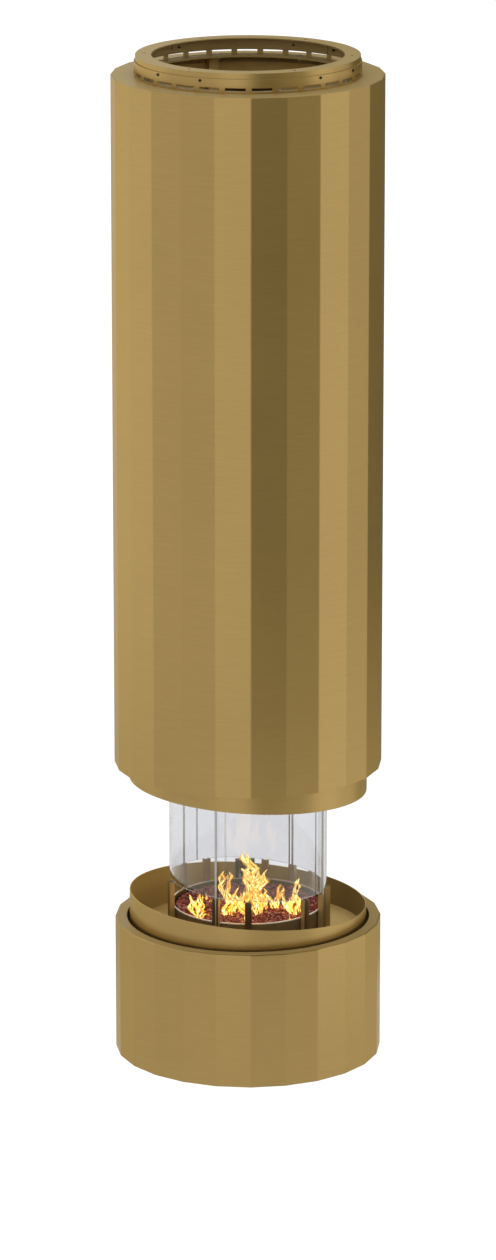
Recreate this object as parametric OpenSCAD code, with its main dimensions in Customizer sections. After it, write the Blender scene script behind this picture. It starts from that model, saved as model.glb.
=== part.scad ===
// Hanging gas fireplace: a long many-sided casing under a ceiling ring, a sliding glass, and a pot
// with a burner that hangs on four rods. The origin is the centre of the ceiling ring's top face,
// +Z points up and +X points to the low side of the slanted glass, hood and tray.

/* [Overall] */
// Width of the casing and the pot across their corners
casing_across = 700; // [670:10:800]
// Number of flat sides of the casing and the pot
side_count = 24; // [16:4:32]
// Height of the ceiling ring and vent collar above the casing
ring_height = 51; // [47:1:80]
// Length of the casing
casing_length = 1818; // [1200:1:2600]
// Free height between the casing and the pot
fire_gap = 424; // [405:1:520]
// Height of the pot
pot_height = 361; // [330:1:500]
// Thickness of the casing and pot sheet
sheet = 2; // [1.5:0.5:4]
// Thickness of the flat plates that close the casing and the pot
plate = 3; // [2:0.5:5]

/* [Clearances] */
// Gap between pieces that are seated in or against each other
seat_gap = 0.3; // [0.2:0.05:0.5]
// Radial clearance of a running fit
run_gap = 0.05; // [0.02:0.01:0.09]

/* [Ceiling ring and vent collar] */
// How far the ceiling ring's radius stays inside the casing's corners
ring_inset = 63; // [55:1:80]
// Width of the ring's flange against the ceiling
ring_flange = 41; // [35:1:60]
// Thickness of the ring and of the collar
ring_wall = 3; // [2:0.5:4]
// Diameter of a ceiling screw hole
ceiling_hole = 9; // [7:0.5:12]
// Distance of the ceiling screw holes from the ring's outer face
ceiling_hole_inset = 22; // [21:0.5:26]
// Number of ceiling screw holes
ceiling_hole_count = 6; // [4:1:12]
// Height of ring that shows above the vent collar
collar_reveal = 14.5; // [10:0.5:18]
// Number of air slots in the collar
slot_count = 27; // [18:1:29]
// Length of an air slot
slot_length = 52; // [30:1:54]
// Height of an air slot
slot_height = 9.5; // [6:0.5:11]
// Height of an air slot above the top plate
slot_rise = 4.5; // [4:0.5:8]
// Width of the collar's inner foot flange
collar_foot = 26; // [22:1:32]
// Width of a foot tab that plugs into the top plate
tab_width = 9; // [6:0.5:11]
// Half the angle between the two side screws of a pair
side_screw_spread = 13.4; // [8:0.1:20]

/* [Frame in the casing] */
// Width of a hanger bar
bar_size = 25; // [20:1:32]
// Wall of a hanger bar
bar_wall = 2; // [1.5:0.5:3]
// Thickness of the bulkhead and of the pot's frame
bulkhead_thickness = 6; // [4:0.5:8]
// Depth of the folded rims of the top plate and the hood plate
rim_depth = 25; // [15:1:40]
// Thickness of a seam strap
strap_thickness = 3; // [2:0.5:4]
// Half width of a seam strap
strap_reach = 38; // [30:1:44]

/* [Hood and flue] */
// How far the hood's radius stays inside the casing's corners
hood_inset = 38.5; // [34:0.5:45]
// How far the hood's lower edge hangs below the casing, at its middle
hood_drop = 59; // [50:1:90]
// Slant of the hood's lower edge
hood_slant = 3.5; // [2:0.1:5]
// Gap between the glass and the smoke chamber
smoke_gap = 12; // [11:0.5:20]
// Height of the smoke cone
cone_height = 150; // [100:5:250]
// Outer radius of the flue pipe
flue_radius = 76.5; // [60:0.5:90]
// Drop of the flue pipe's end below the ceiling
flue_drop = 75; // [70:1:80]
// Length of the flue spigot that a further pipe slips over
spigot_length = 60; // [45:1:65]
// Drop of the spider that centres the flue pipe
spider_drop = 150; // [145:1:300]
// Height of the damper spindle above the cone
damper_rise = 130; // [100:1:200]
// Radius of the damper spindle
spindle_radius = 4; // [3:0.5:6]

/* [Glass] */
// Outer radius of the glass
glass_radius = 207; // [190:1:212]
// Thickness of the glass
glass_thickness = 5; // [4:0.5:6]
// How far the glass hangs below the casing, at its middle
glass_drop = 328; // [314:1:334]
// Slant of the glass's lower edge and of the posts
glass_slant = 4; // [2:0.1:4.5]
// Height of the glass's upper edge above the casing's lower edge
glass_top_rise = 57; // [50:1:80]
// Turn of the glass joints about the upright axis
glass_turn = -3.2; // [-6:0.1:6]
// Angle of the two joints near the low side
joint_near = 44; // [43.5:0.1:50]
// Angle of the two joints near the high side
joint_far = 119.5; // [112:0.1:122]
// Width of a glass joint
joint_gap = 2; // [1:0.5:4]
// Room above the glass that it slides up into
lift_room = 235; // [150:5:300]

/* [Rods and posts] */
// Radius of a suspension rod
rod_radius = 3; // [2.5:0.5:4]
// Gap between the glass and the rods
rod_gap = 2; // [1.5:0.5:3]
// Angle of the two rods near the low side
rod_near = 39; // [37:0.5:39.5]
// Angle of the two rods near the high side
rod_far = 129.5; // [128:0.5:134]
// Width of a post
post_width = 18; // [14:0.5:22]
// Thickness of a post's sheet
post_wall = 2.5; // [1.5:0.5:3]
// Gap between the glass and the posts under it
post_gap = 2; // [1:1:8]

/* [Tray and pot] */
// How far the tray's radius stays inside the pot's corners
tray_inset = 38; // [34:0.5:45]
// Gap round the tray in the pot's round hole
tray_gap = 7.5; // [4:0.5:12]
// Thickness of the tray's sheet
tray_wall = 2.5; // [2:0.5:4]
// Height of the tray's rim above the pot, at its middle
tray_stand = 51; // [40:1:60]
// Depth of the tray under its rim, at its middle
tray_depth = 94; // [85:1:110]
// Slant of the tray's rim
tray_slant = 4.2; // [2:0.1:5]
// Recess of the pot's floor above its lower edge
floor_recess = 6; // [5.5:0.5:12]
// Width of the service hatch
hatch_width = 240; // [180:5:250]
// Length of the service hatch
hatch_length = 160; // [120:5:165]
// Distance of the hatch from the pot's axis
hatch_offset = 70; // [65:1:75]

/* [Burner] */
// Gap between the posts and the burner pan
pan_gap = 3; // [2:0.5:6]
// Height of the burner pan over the tray's floor
pan_height = 81; // [70:1:84]
// Depth inside the burner pan
pan_depth = 55; // [48:1:60]
// Thickness of the burner pan's sheet
pan_wall = 2; // [1.5:0.5:3]
// Depth of the chips under the pan's rim
bed_dip = 12; // [8:1:20]
// Radius of the burner ring
burner_radius = 120; // [90:1:150]
// Radius of the burner ring's tube
burner_tube = 9; // [7:0.5:10]
// Number of flame ports in the burner ring
port_count = 24; // [12:2:36]
// Angle of the pilot burner behind the fire
pilot_turn = 76; // [72:1:80]

/* [Gas gear] */
// Height of the gas line above the pot's lower edge
line_height = 110; // [100:1:130]
// Radius of the gas pipe
gas_radius = 7.5; // [6:0.5:9]
// Distance of the gas inlet from the pot's axis
inlet_offset = 230; // [225:1:250]
// Radius of the gas inlet's thread
inlet_radius = 10.5; // [10:0.5:13]
// Length of the gas inlet's thread
inlet_length = 15; // [12:1:20]

/* [Hidden] */
$fn = 96;

brass_gold = [0.64, 0.53, 0.33];
dark_brown = [0.22, 0.14, 0.08];
steel_grey = [0.6, 0.6, 0.62];
black_oxide = [0.12, 0.12, 0.13];
lava_red = [0.45, 0.22, 0.17];
clear_glass = [0.8, 0.86, 0.88, 0.35];

// Radii that follow from the driving sizes
corner = casing_across / 2;
flat_share = cos(180 / side_count);
shell_inside = corner * flat_share - sheet;
plate_corner = corner - sheet / flat_share - seat_gap;
bar_outer = shell_inside - strap_thickness - 2 * seat_gap;
bar_middle = bar_outer - bar_size / 2;
bar_inner = bar_outer - bar_size;
ring_radius = corner - ring_inset;
collar_inner = ring_radius + seat_gap;
collar_outer = collar_inner + ring_wall;
foot_inner = collar_outer - collar_foot;
foot_bolt_circle = foot_inner + collar_foot / 2;
hood_radius = corner - hood_inset;
hood_wall = 2.5;
hood_foot = 28;
hood_bolt_circle = hood_radius - hood_foot / 2;
glass_inner = glass_radius - glass_thickness;
rod_circle = glass_radius + rod_gap + rod_radius;
smoke_radius = glass_inner - smoke_gap;
tray_radius = corner - tray_inset;
post_inner = glass_radius - 4;
post_depth = rod_circle + rod_radius + 2 - post_inner;
pan_radius = post_inner - pan_gap;
pan_inner = pan_radius - pan_wall;
reach = 2 * corner;

// Heights, downward from the ceiling
ring_skirt = ring_height - slot_rise - slot_height - 3;
side_screw_drop = collar_reveal + 6.5;
z_casing_top = -ring_height;
z_casing_bottom = z_casing_top - casing_length;
z_pot_top = z_casing_bottom - fire_gap;
z_pot_bottom = z_pot_top - pot_height;
z_hood_plate = z_casing_bottom + 2;
z_hood_edge = z_casing_bottom - hood_drop;
z_glass_top = z_casing_bottom + glass_top_rise;
z_glass_bottom = z_casing_bottom - glass_drop;
z_post_top = z_glass_bottom - post_gap;
carrier_web = 4;
cheek_depth = 22;
bush_wall = 1.5;
lug_wall = 4;
carrier_screw_count = 12;
carrier_screw_turn = 7;
z_bulkhead = z_glass_top + lift_room + 37;
z_smoke_mouth = z_casing_bottom - 25;
z_cone_top = z_bulkhead + bulkhead_thickness + cone_height;
z_damper = z_cone_top + damper_rise;
z_tray_rim = z_pot_top + tray_stand;
z_tray_floor = z_tray_rim - tray_depth;
z_frame = z_tray_floor - tray_wall - bulkhead_thickness;
z_pan_rim = z_tray_floor + pan_height;
z_pan_floor = z_pan_rim - pan_depth;
z_bed = z_pan_rim - bed_dip;
z_burner = z_pan_floor + burner_tube + seat_gap;
z_grate = z_burner + burner_tube + seat_gap;
z_floor_low = z_pot_bottom + floor_recess;
z_floor_top = z_floor_low + plate;
z_line = z_pot_bottom + line_height;

// Small hardware
m6_radius = 3;
m6_head = 5.8;
m5_radius = 2.4;
screw_play = 0.1;
tab_play = 0.6;
ceiling_hole_turn = -20;
side_screw_turn = 36;
keyhole_turns = [112.5, 117.3];
ring_seam_turn = 27.8;
ring_seam = 1;
slot_turn = 7.5;
hood_bolt_turn = 22.5;
foot_bolt_count = 8;
nut_height = 5;
flue_wall = 2;
spigot_radius = flue_radius - 2;
base_screw_circle = shell_inside - 13;
rod_angles = [-rod_far, -rod_near, rod_near, rod_far];
post_angles = [18.5, 39, 61, 106, 129.5];
joint_angles = [for (a = [-joint_far, -joint_near, joint_near, joint_far]) a + glass_turn];
hinge_y = hatch_offset + hatch_length + 1;
z_hinge = z_floor_low - 3;
knuckle_radius = 2.8;
hinge_half = 60;
knuckle_edges = [for (i = [0:5]) hinge_half * (2 * i / 5 - 1)];
knuckle_gap = 0.15;
pin_radius = 1.5;
pilot_circle = post_inner + 11;
pilot_x = pilot_circle * cos(pilot_turn);
pilot_y = pilot_circle * sin(pilot_turn);
port_radius = 1.5;
valve_half = [60, 35, 30];
z_valve_top = z_line + valve_half[2];
z_jet = z_valve_top + 20;
jet_height = 12;
venturi_radius = 12;
venturi_wall = 2;
shutter_low = z_jet + jet_height + 8;
shutter_height = 24;
window_low = shutter_low + 5;
shutoff_ends = [-165, -105];
shutoff_stem = (shutoff_ends[0] + shutoff_ends[1]) / 2;
shutoff_radius = 4;
knob_x = 30;
knob_stem = 4;
z_inlet = z_floor_low - 2;
inlet_hex = 18;
elbow_radius = 30;
pilot_elbow = 20;
pilot_tube = 3;

// Shapes used by many pieces

module barrel(radius, low, high) {
    translate([0, 0, low]) cylinder(r = radius, h = high - low);
}

module sleeve(outer, inner, low, high) {
    difference() {
        barrel(outer, low, high);
        barrel(inner, low - 1, high + 1);
    }
}

function corner_points(radius) =
    [for (i = [0:side_count - 1]) radius * [cos(i * 360 / side_count), sin(i * 360 / side_count)]];

module prism(radius, low, high) {
    translate([0, 0, low]) linear_extrude(high - low) polygon(corner_points(radius));
}

module prism_wall(radius, wall, low, high) {
    difference() {
        prism(radius, low, high);
        prism(radius - wall / flat_share, low - 1, high + 1);
    }
}

module around(turn, radius) {
    rotate([0, 0, turn]) translate([radius, 0, 0]) children();
}

module circle_of(count, radius, turn = 0) {
    for (i = [0:count - 1]) around(turn + i * 360 / count, radius) children();
}

module spoke(radius, from, to) {
    translate([from, 0, 0]) rotate([0, 90, 0]) cylinder(r = radius, h = to - from);
}

module box(low, high) {
    translate(low) cube(high - low);
}

module below_slant(height, slant) {
    translate([0, 0, height]) rotate([0, slant, 0]) box([-reach, -reach, -reach], [reach, reach, 0]);
}

module above_slant(height, slant) {
    translate([0, 0, height]) rotate([0, slant, 0]) box([-reach, -reach, 0], [reach, reach, reach]);
}

module hex_bolt(top, grip) {
    barrel(m6_radius, top - grip - nut_height - 2, top + 1);
    translate([0, 0, top]) cylinder(r = m6_head, h = 4, $fn = 6);
    translate([0, 0, top - grip - nut_height]) cylinder(r = m6_head, h = nut_height, $fn = 6);
}

// Ceiling ring and vent collar

module at_side_screws() {
    for (quarter = [0:3], side = [-1, 1]) {
        rotate([0, 0, side_screw_turn + 90 * quarter + side * side_screw_spread])
            translate([0, 0, -side_screw_drop]) children();
    }
}

module keyhole() {
    spoke(2.5, ring_radius - ring_wall - 1, ring_radius + 1);
    box([ring_radius - ring_wall - 1, -1, 0], [ring_radius + 1, 1, 12]);
}

module ceiling_ring() {
    color(brass_gold) difference() {
        union() {
            sleeve(ring_radius, ring_radius - ring_wall, -ring_skirt, 0);
            sleeve(ring_radius, ring_radius - ring_flange, -ring_wall, 0);
        }
        circle_of(ceiling_hole_count, ring_radius - ceiling_hole_inset, ceiling_hole_turn)
            barrel(ceiling_hole / 2, -ring_wall - 1, 1);
        at_side_screws() spoke(m5_radius + screw_play, ring_radius - ring_wall - 1, ring_radius + 1);
        for (turn = keyhole_turns) rotate([0, 0, turn]) translate([0, 0, -side_screw_drop]) keyhole();
        rotate([0, 0, ring_seam_turn]) box([ring_radius - ring_wall - 1, -ring_seam / 2, -ring_skirt - 1],
            [ring_radius + 1, ring_seam / 2, -ring_wall - 1]);
    }
}

module vent_collar() {
    middle = collar_inner + ring_wall / 2;
    pitch = 360 / slot_count;
    tab_space = 2 * middle * sin(pitch / 2) - tab_width;
    color(brass_gold) difference() {
        union() {
            sleeve(collar_outer, collar_inner, z_casing_top - 2 * plate, -collar_reveal);
            sleeve(collar_outer, foot_inner, z_casing_top, z_casing_top + ring_wall);
        }
        circle_of(slot_count, middle, slot_turn) {
            box([-ring_wall, -slot_length / 2, z_casing_top + slot_rise],
                [ring_wall, slot_length / 2, z_casing_top + slot_rise + slot_height]);
            box([-6, -tab_space / 2, z_casing_top - 2 * plate - 1], [6, tab_space / 2, z_casing_top]);
        }
        at_side_screws() spoke(m5_radius + seat_gap, collar_inner - 1, collar_outer + 1);
        circle_of(foot_bolt_count, foot_bolt_circle)
            barrel(m6_radius + seat_gap, z_casing_top - 1, z_casing_top + ring_wall + 1);
    }
}

module collar_screws() {
    color(black_oxide) at_side_screws() difference() {
        union() {
            spoke(m5_radius, ring_radius - 8, collar_outer + 1);
            spoke(3.6, collar_outer, collar_outer + 1.8);
        }
        translate([collar_outer + 0.6, 0, 0]) rotate([0, 90, 0]) cylinder(r = 1.8, h = 3, $fn = 6);
    }
}

// Casing

module folded_plate(low, rim_low, rim_high) {
    prism(plate_corner, low, low + plate);
    prism_wall(plate_corner, sheet, rim_low, rim_high);
}

module casing_top_plate() {
    low = z_casing_top - plate;
    color(brass_gold) difference() {
        folded_plate(low, low - rim_depth, low + plate);
        barrel(foot_inner, low - 1, z_casing_top + 1);
        circle_of(slot_count, collar_inner + ring_wall / 2, slot_turn + 180 / slot_count)
            box([-ring_wall / 2 - tab_play, -tab_width / 2 - tab_play, low - 1],
                [ring_wall / 2 + tab_play, tab_width / 2 + tab_play, z_casing_top + 1]);
        circle_of(foot_bolt_count, foot_bolt_circle)
            barrel(m6_radius + seat_gap, low - 1, z_casing_top + 1);
    }
}

module flange_bolts() {
    color(steel_grey) {
        circle_of(foot_bolt_count, foot_bolt_circle) hex_bolt(z_casing_top + ring_wall, ring_wall + plate);
        circle_of(foot_bolt_count, hood_bolt_circle, hood_bolt_turn)
            hex_bolt(z_hood_plate + plate, 2 * plate);
    }
}

module half_shell(side) {
    color(brass_gold) difference() {
        prism_wall(corner, sheet, z_casing_bottom, z_casing_top);
        translate([-reach, side > 0 ? -reach : -seat_gap / 2, z_casing_bottom - 1])
            cube([2 * reach, reach + seat_gap / 2, casing_length + 2]);
    }
}

module casing_front() {
    half_shell(-1);
}

module casing_rear() {
    half_shell(1);
}

module seam_straps() {
    low = z_hood_plate + plate + rim_depth + 5;
    high = z_casing_top - plate - rim_depth - 5;
    color(steel_grey) for (turn = [0, 180]) rotate([0, 0, turn]) intersection() {
        prism_wall(corner - (sheet + seat_gap) / flat_share, strap_thickness, low, high);
        box([0, -strap_reach, low - 1], [reach, strap_reach, high + 1]);
    }
}

module hanger_bars() {
    low = z_hood_plate + plate;
    half = bar_size / 2;
    color(steel_grey) circle_of(4, bar_middle) difference() {
        box([-half, -half, low], [half, half, z_casing_top - plate]);
        box([bar_wall - half, bar_wall - half, low - 1], [half - bar_wall, half - bar_wall, z_casing_top]);
    }
}

module bulkhead_plate() {
    notch = bar_size / 2 + seat_gap;
    color(steel_grey) difference() {
        barrel(bar_outer - 3, z_bulkhead, z_bulkhead + bulkhead_thickness);
        barrel(smoke_radius - 4, z_bulkhead - 1, z_bulkhead + bulkhead_thickness + 1);
        circle_of(4, bar_middle) box([-notch, -notch, z_bulkhead - 1], [bar_size, notch, z_bulkhead + 20]);
        for (turn = rod_angles) around(turn, rod_circle)
            barrel(rod_radius + seat_gap, z_bulkhead - 1, z_bulkhead + bulkhead_thickness + 1);
    }
}

module hood_plate() {
    color(brass_gold) difference() {
        folded_plate(z_hood_plate, z_hood_plate, z_hood_plate + plate + rim_depth);
        barrel(rod_circle + rod_radius + 5, z_hood_plate - 1, z_hood_plate + plate + 1);
        circle_of(foot_bolt_count, hood_bolt_circle, hood_bolt_turn)
            barrel(m6_radius + seat_gap, z_hood_plate - 1, z_hood_plate + plate + 1);
    }
}

module hood_collar() {
    color(brass_gold) difference() {
        union() {
            sleeve(hood_radius, hood_radius - hood_wall, z_hood_edge - 60, z_hood_plate);
            sleeve(hood_radius, hood_radius - hood_foot, z_hood_plate - plate, z_hood_plate);
        }
        below_slant(z_hood_edge, hood_slant);
        circle_of(foot_bolt_count, hood_bolt_circle, hood_bolt_turn)
            barrel(m6_radius + seat_gap, z_hood_plate - plate - 1, z_hood_plate + 1);
    }
}

// Flue

module smoke_chamber() {
    color(steel_grey) {
        sleeve(smoke_radius, smoke_radius - 2, z_smoke_mouth, z_bulkhead);
        sleeve(smoke_radius + 12, smoke_radius - 2, z_bulkhead - plate, z_bulkhead);
    }
}

module smoke_cone() {
    low = z_bulkhead + bulkhead_thickness;
    neck = flue_radius + seat_gap;
    color(steel_grey) rotate_extrude() polygon([
        [smoke_radius - 4, low], [smoke_radius + 12, low], [smoke_radius + 12, low + plate],
        [smoke_radius, low + plate], [neck + 2, z_cone_top], [neck + 2, z_cone_top + 40],
        [neck, z_cone_top + 40], [neck, z_cone_top], [smoke_radius - 4, low + plate]
    ]);
}

module flue_pipe() {
    low = z_cone_top + 2;
    shoulder = -flue_drop - spigot_length;
    color(steel_grey) difference() {
        rotate_extrude() polygon([
            [flue_radius - flue_wall, low], [flue_radius, low], [flue_radius, shoulder],
            [spigot_radius, shoulder], [spigot_radius, -flue_drop], [spigot_radius - flue_wall, -flue_drop],
            [spigot_radius - flue_wall, shoulder - flue_wall], [flue_radius - flue_wall, shoulder - flue_wall]
        ]);
        translate([0, 0, z_damper]) spoke(spindle_radius + run_gap, -flue_radius - 5, flue_radius + 5);
    }
}

module pipe_spider() {
    high = -spider_drop;
    arm = bar_inner - seat_gap;
    color(steel_grey) difference() {
        union() {
            barrel(flue_radius + 20, high - plate, high);
            for (turn = [0, 90]) rotate([0, 0, turn])
                box([-arm, -bar_size / 2, high - plate], [arm, bar_size / 2, high]);
        }
        barrel(flue_radius + seat_gap, high - plate - 1, high + 1);
    }
}

module damper_bushes() {
    color(steel_grey) for (side = [-1, 1]) translate([0, 0, z_damper]) difference() {
        intersection() {
            spoke(spindle_radius + 4, side > 0 ? 0 : -flue_radius - 12, side > 0 ? flue_radius + 12 : 0);
            sleeve(flue_radius + 20, flue_radius + 0.1, -20, 20);
        }
        spoke(spindle_radius + run_gap, -reach, reach);
    }
}

module damper_spindle() {
    slot_end = flue_radius - flue_wall - 1;
    color(steel_grey) translate([0, 0, z_damper]) difference() {
        spoke(spindle_radius, -flue_radius - 18, flue_radius + 34);
        box([-slot_end, -1, -spindle_radius - 1], [slot_end, 1, spindle_radius + 1]);
    }
}

module damper_plate() {
    color(steel_grey) translate([0, 0, z_damper]) rotate([90, 0, 0])
        translate([0, 0, -0.9]) cylinder(r = flue_radius - flue_wall - 1.5, h = 1.8);
}

module damper_lever() {
    hub = flue_radius + 22;
    color(steel_grey) translate([0, 0, z_damper]) difference() {
        union() {
            spoke(9, hub, hub + 12);
            box([hub + 2, -5, 0], [hub + 6, 5, 62]);
            translate([0, 0, 62]) spoke(8, hub + 2, hub + 6);
        }
        spoke(spindle_radius + 0.02, hub - 1, hub + 20);
    }
}

// Rods, glass and carrier

module suspension_rods() {
    color(steel_grey) for (turn = rod_angles) around(turn, rod_circle)
        barrel(rod_radius, z_frame - 14, z_bulkhead + bulkhead_thickness + 12);
}

module rod_nut(low) {
    difference() {
        translate([0, 0, low]) cylinder(r = 2 * rod_radius, h = nut_height, $fn = 6);
        barrel(rod_radius + run_gap, low - 1, low + nut_height + 1);
    }
}

module rod_nuts() {
    color(steel_grey) for (turn = rod_angles) around(turn, rod_circle) {
        rod_nut(z_bulkhead + bulkhead_thickness);
        rod_nut(z_bulkhead - nut_height);
        rod_nut(z_frame - nut_height);
        rod_nut(z_frame - 2 * nut_height - 1);
    }
}

module glass_carrier() {
    web_low = z_glass_top + seat_gap;
    low = z_glass_top - cheek_depth;
    outer = glass_radius + 4;
    bush_hole = rod_radius + bush_wall;
    color(steel_grey) difference() {
        union() {
            barrel(outer, low, web_low + carrier_web);
            for (turn = rod_angles) around(turn, rod_circle)
                barrel(bush_hole + lug_wall, low, web_low + carrier_web);
        }
        barrel(glass_inner - 4, low - 1, web_low + carrier_web + 1);
        barrel(glass_radius + seat_gap, low - 1, web_low);
        for (turn = rod_angles) around(turn, rod_circle)
            barrel(bush_hole, low - 1, web_low + carrier_web + 1);
        circle_of(carrier_screw_count, glass_inner - 2, carrier_screw_turn)
            barrel(1.6, web_low - 1, web_low + carrier_web + 1);
    }
}

module clamp_ring() {
    color(steel_grey) difference() {
        sleeve(glass_inner - seat_gap, glass_inner - 4, z_glass_top - cheek_depth, z_glass_top + seat_gap);
        circle_of(carrier_screw_count, glass_inner - 2, carrier_screw_turn)
            barrel(1.5, z_glass_top - 10, z_glass_top + 1);
    }
}

module carrier_screws() {
    high = z_glass_top + seat_gap + carrier_web;
    color(black_oxide) circle_of(carrier_screw_count, glass_inner - 2, carrier_screw_turn) {
        barrel(1.4, z_glass_top - 9, high + 1);
        barrel(2.6, high, high + 2);
    }
}

module guide_bushes() {
    high = z_glass_top + seat_gap + carrier_web;
    color(black_oxide) for (turn = rod_angles) around(turn, rod_circle) difference() {
        union() {
            barrel(rod_radius + bush_wall, z_glass_top - cheek_depth - 2, high + 2);
            barrel(rod_radius + lug_wall, high, high + 2);
        }
        barrel(rod_radius + run_gap, z_glass_top - cheek_depth - 3, high + 3);
    }
}

module glass_panel(index) {
    half_gap = asin(joint_gap / 2 / glass_radius);
    start = joint_angles[index] + half_gap;
    stop = (index < 3 ? joint_angles[index + 1] : joint_angles[0] + 360) - half_gap;
    color(clear_glass) difference() {
        rotate([0, 0, start]) rotate_extrude(angle = stop - start)
            translate([glass_inner, z_glass_bottom - 60])
                square([glass_thickness, z_glass_top - z_glass_bottom + 60]);
        below_slant(z_glass_bottom, glass_slant);
    }
}

module glass_panel_1() {
    glass_panel(0);
}

module glass_panel_2() {
    glass_panel(1);
}

module glass_panel_3() {
    glass_panel(2);
}

module glass_panel_4() {
    glass_panel(3);
}

module post_channel() {
    high = z_post_top + 60;
    difference() {
        box([0, -post_width / 2, z_tray_floor], [post_depth, post_width / 2, high]);
        box([post_wall, post_wall - post_width / 2, z_tray_floor - 1],
            [post_depth + 1, post_width / 2 - post_wall, high + 1]);
    }
}

module glass_posts() {
    color(dark_brown) difference() {
        union() {
            for (turn = post_angles, side = [-1, 1]) around(side * turn, post_inner) post_channel();
            around(180, post_inner) post_channel();
        }
        above_slant(z_post_top, glass_slant);
    }
}

// Tray and burner

module hearth_tray() {
    low = z_tray_floor - tray_wall;
    color(brass_gold) difference() {
        barrel(tray_radius, low, z_tray_rim + 60);
        barrel(tray_radius - tray_wall, z_tray_floor, z_tray_rim + 61);
        above_slant(z_tray_rim, tray_slant);
        barrel(venturi_radius + 2, low - 1, z_tray_floor + 1);
        for (turn = rod_angles) around(turn, rod_circle) barrel(rod_radius + 1, low - 1, z_tray_floor + 1);
        around(pilot_turn, pilot_circle) barrel(pilot_tube + 2, low - 1, z_tray_floor + 1);
    }
}

module burner_pan() {
    color(dark_brown) difference() {
        barrel(pan_radius, z_tray_floor, z_pan_rim - 3);
        barrel(pan_inner, z_pan_floor, z_pan_rim);
        barrel(pan_inner, z_tray_floor - 1, z_pan_floor - pan_wall);
        barrel(venturi_radius + 1, z_tray_floor, z_pan_rim);
    }
}

module pan_rim() {
    color(steel_grey) sleeve(pan_radius + 1, pan_inner - 0.5, z_pan_rim - 3, z_pan_rim);
}

module bed_grate() {
    color(steel_grey) difference() {
        union() {
            barrel(pan_inner - seat_gap, z_grate, z_grate + 2);
            circle_of(6, pan_inner - 14, 30) barrel(5, z_pan_floor, z_grate + 1);
        }
        for (ring = [[12, 60], [24, 120], [36, 165]])
            circle_of(ring[0], ring[1]) barrel(6, z_grate - 1, z_grate + 3);
    }
}

module lava_bed() {
    low = z_grate + 2;
    edge = pan_inner - 1;
    color(lava_red) rotate_extrude() polygon([
        [0, low], [edge, low], [edge, z_bed - 3], [edge - 14, z_bed + 2],
        [edge * 0.5, z_bed + 6], [0, z_bed + 4]
    ]);
}

module burner_ring() {
    color(steel_grey) difference() {
        union() {
            translate([0, 0, z_burner]) {
                rotate_extrude() translate([burner_radius, 0]) circle(r = burner_tube);
                spoke(burner_tube - 1, -burner_radius, burner_radius);
            }
            barrel(venturi_radius + 3, z_burner - burner_tube, z_burner + burner_tube);
        }
        circle_of(port_count, burner_radius, 180 / port_count)
            barrel(port_radius, z_burner, z_burner + 2 * burner_tube);
    }
}

module air_windows(outer) {
    for (turn = [0, 90]) rotate([0, 0, turn])
        box([-outer, -5, window_low], [outer, 5, window_low + 14]);
}

module venturi_tube() {
    color(steel_grey) difference() {
        sleeve(venturi_radius, venturi_radius - venturi_wall, z_jet + jet_height, z_burner - burner_tube);
        air_windows(20);
    }
}

module air_shutter() {
    color(steel_grey) difference() {
        sleeve(venturi_radius + 3, venturi_radius + run_gap, shutter_low, shutter_low + shutter_height);
        air_windows(20);
    }
}

module gas_jet() {
    color(brass_gold) {
        translate([0, 0, z_jet]) cylinder(r = 14, h = jet_height, $fn = 6);
        barrel(3, z_jet + jet_height - 1, z_jet + jet_height + 8);
    }
}

module pilot_shield() {
    low = z_tray_floor;
    high = min(z_pan_rim + 45, z_glass_bottom - 13);
    color(dark_brown) around(pilot_turn, pilot_circle) difference() {
        box([-9, -26, low], [12, 26, high]);
        box([-10, -24.5, low - 1], [10.5, 24.5, high - 1.5]);
    }
}

module pilot_burner() {
    color(steel_grey) around(pilot_turn, pilot_circle) {
        barrel(6, z_tray_floor, z_pan_rim + 8);
        translate([0, 0, z_pan_rim + 2]) spoke(4, -8, 0);
    }
}

module ignition_electrode() {
    color([0.92, 0.9, 0.86]) around(pilot_turn, pilot_circle) translate([0, 14, 0]) {
        barrel(3.5, z_tray_floor, z_pan_rim + 6);
        barrel(1, z_pan_rim + 5, z_pan_rim + 20);
    }
}

module pilot_pipe() {
    run = z_frame - 60;
    rise_y = 20;
    color(steel_grey) translate([pilot_x, 0, 0]) {
        translate([0, rise_y, 0]) barrel(pilot_tube, z_valve_top, run - pilot_elbow);
        translate([0, rise_y + pilot_elbow, run - pilot_elbow]) rotate([90, 0, 90]) rotate([0, 0, 90])
            rotate_extrude(angle = 90) translate([pilot_elbow, 0]) circle(r = pilot_tube);
        translate([0, rise_y + pilot_elbow, run]) rotate([-90, 0, 0])
            cylinder(r = pilot_tube, h = pilot_y - rise_y - 2 * pilot_elbow);
        translate([0, pilot_y - pilot_elbow, run + pilot_elbow]) rotate([90, 0, 90]) rotate([0, 0, -90])
            rotate_extrude(angle = 90) translate([pilot_elbow, 0]) circle(r = pilot_tube);
        translate([0, pilot_y, 0]) barrel(pilot_tube, run + pilot_elbow, z_tray_floor);
    }
}

// Pot

module at_base_screws() {
    circle_of(foot_bolt_count, base_screw_circle, hood_bolt_turn) children();
}

module pot_shell() {
    inside = corner - sheet / flat_share;
    shelf = z_floor_top + tray_wall;
    color(brass_gold) difference() {
        prism(corner, z_pot_bottom, z_pot_top);
        prism(inside, z_pot_bottom - 1, z_floor_top);
        prism(inside, shelf, z_pot_top - tray_wall);
        barrel(base_screw_circle - 10, z_floor_top - 1, shelf + 1);
        barrel(tray_radius + tray_gap, z_pot_top - tray_wall - 1, z_pot_top + 1);
        at_base_screws() barrel(m5_radius + screw_play, z_floor_top - 1, shelf + 1);
    }
}

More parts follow.
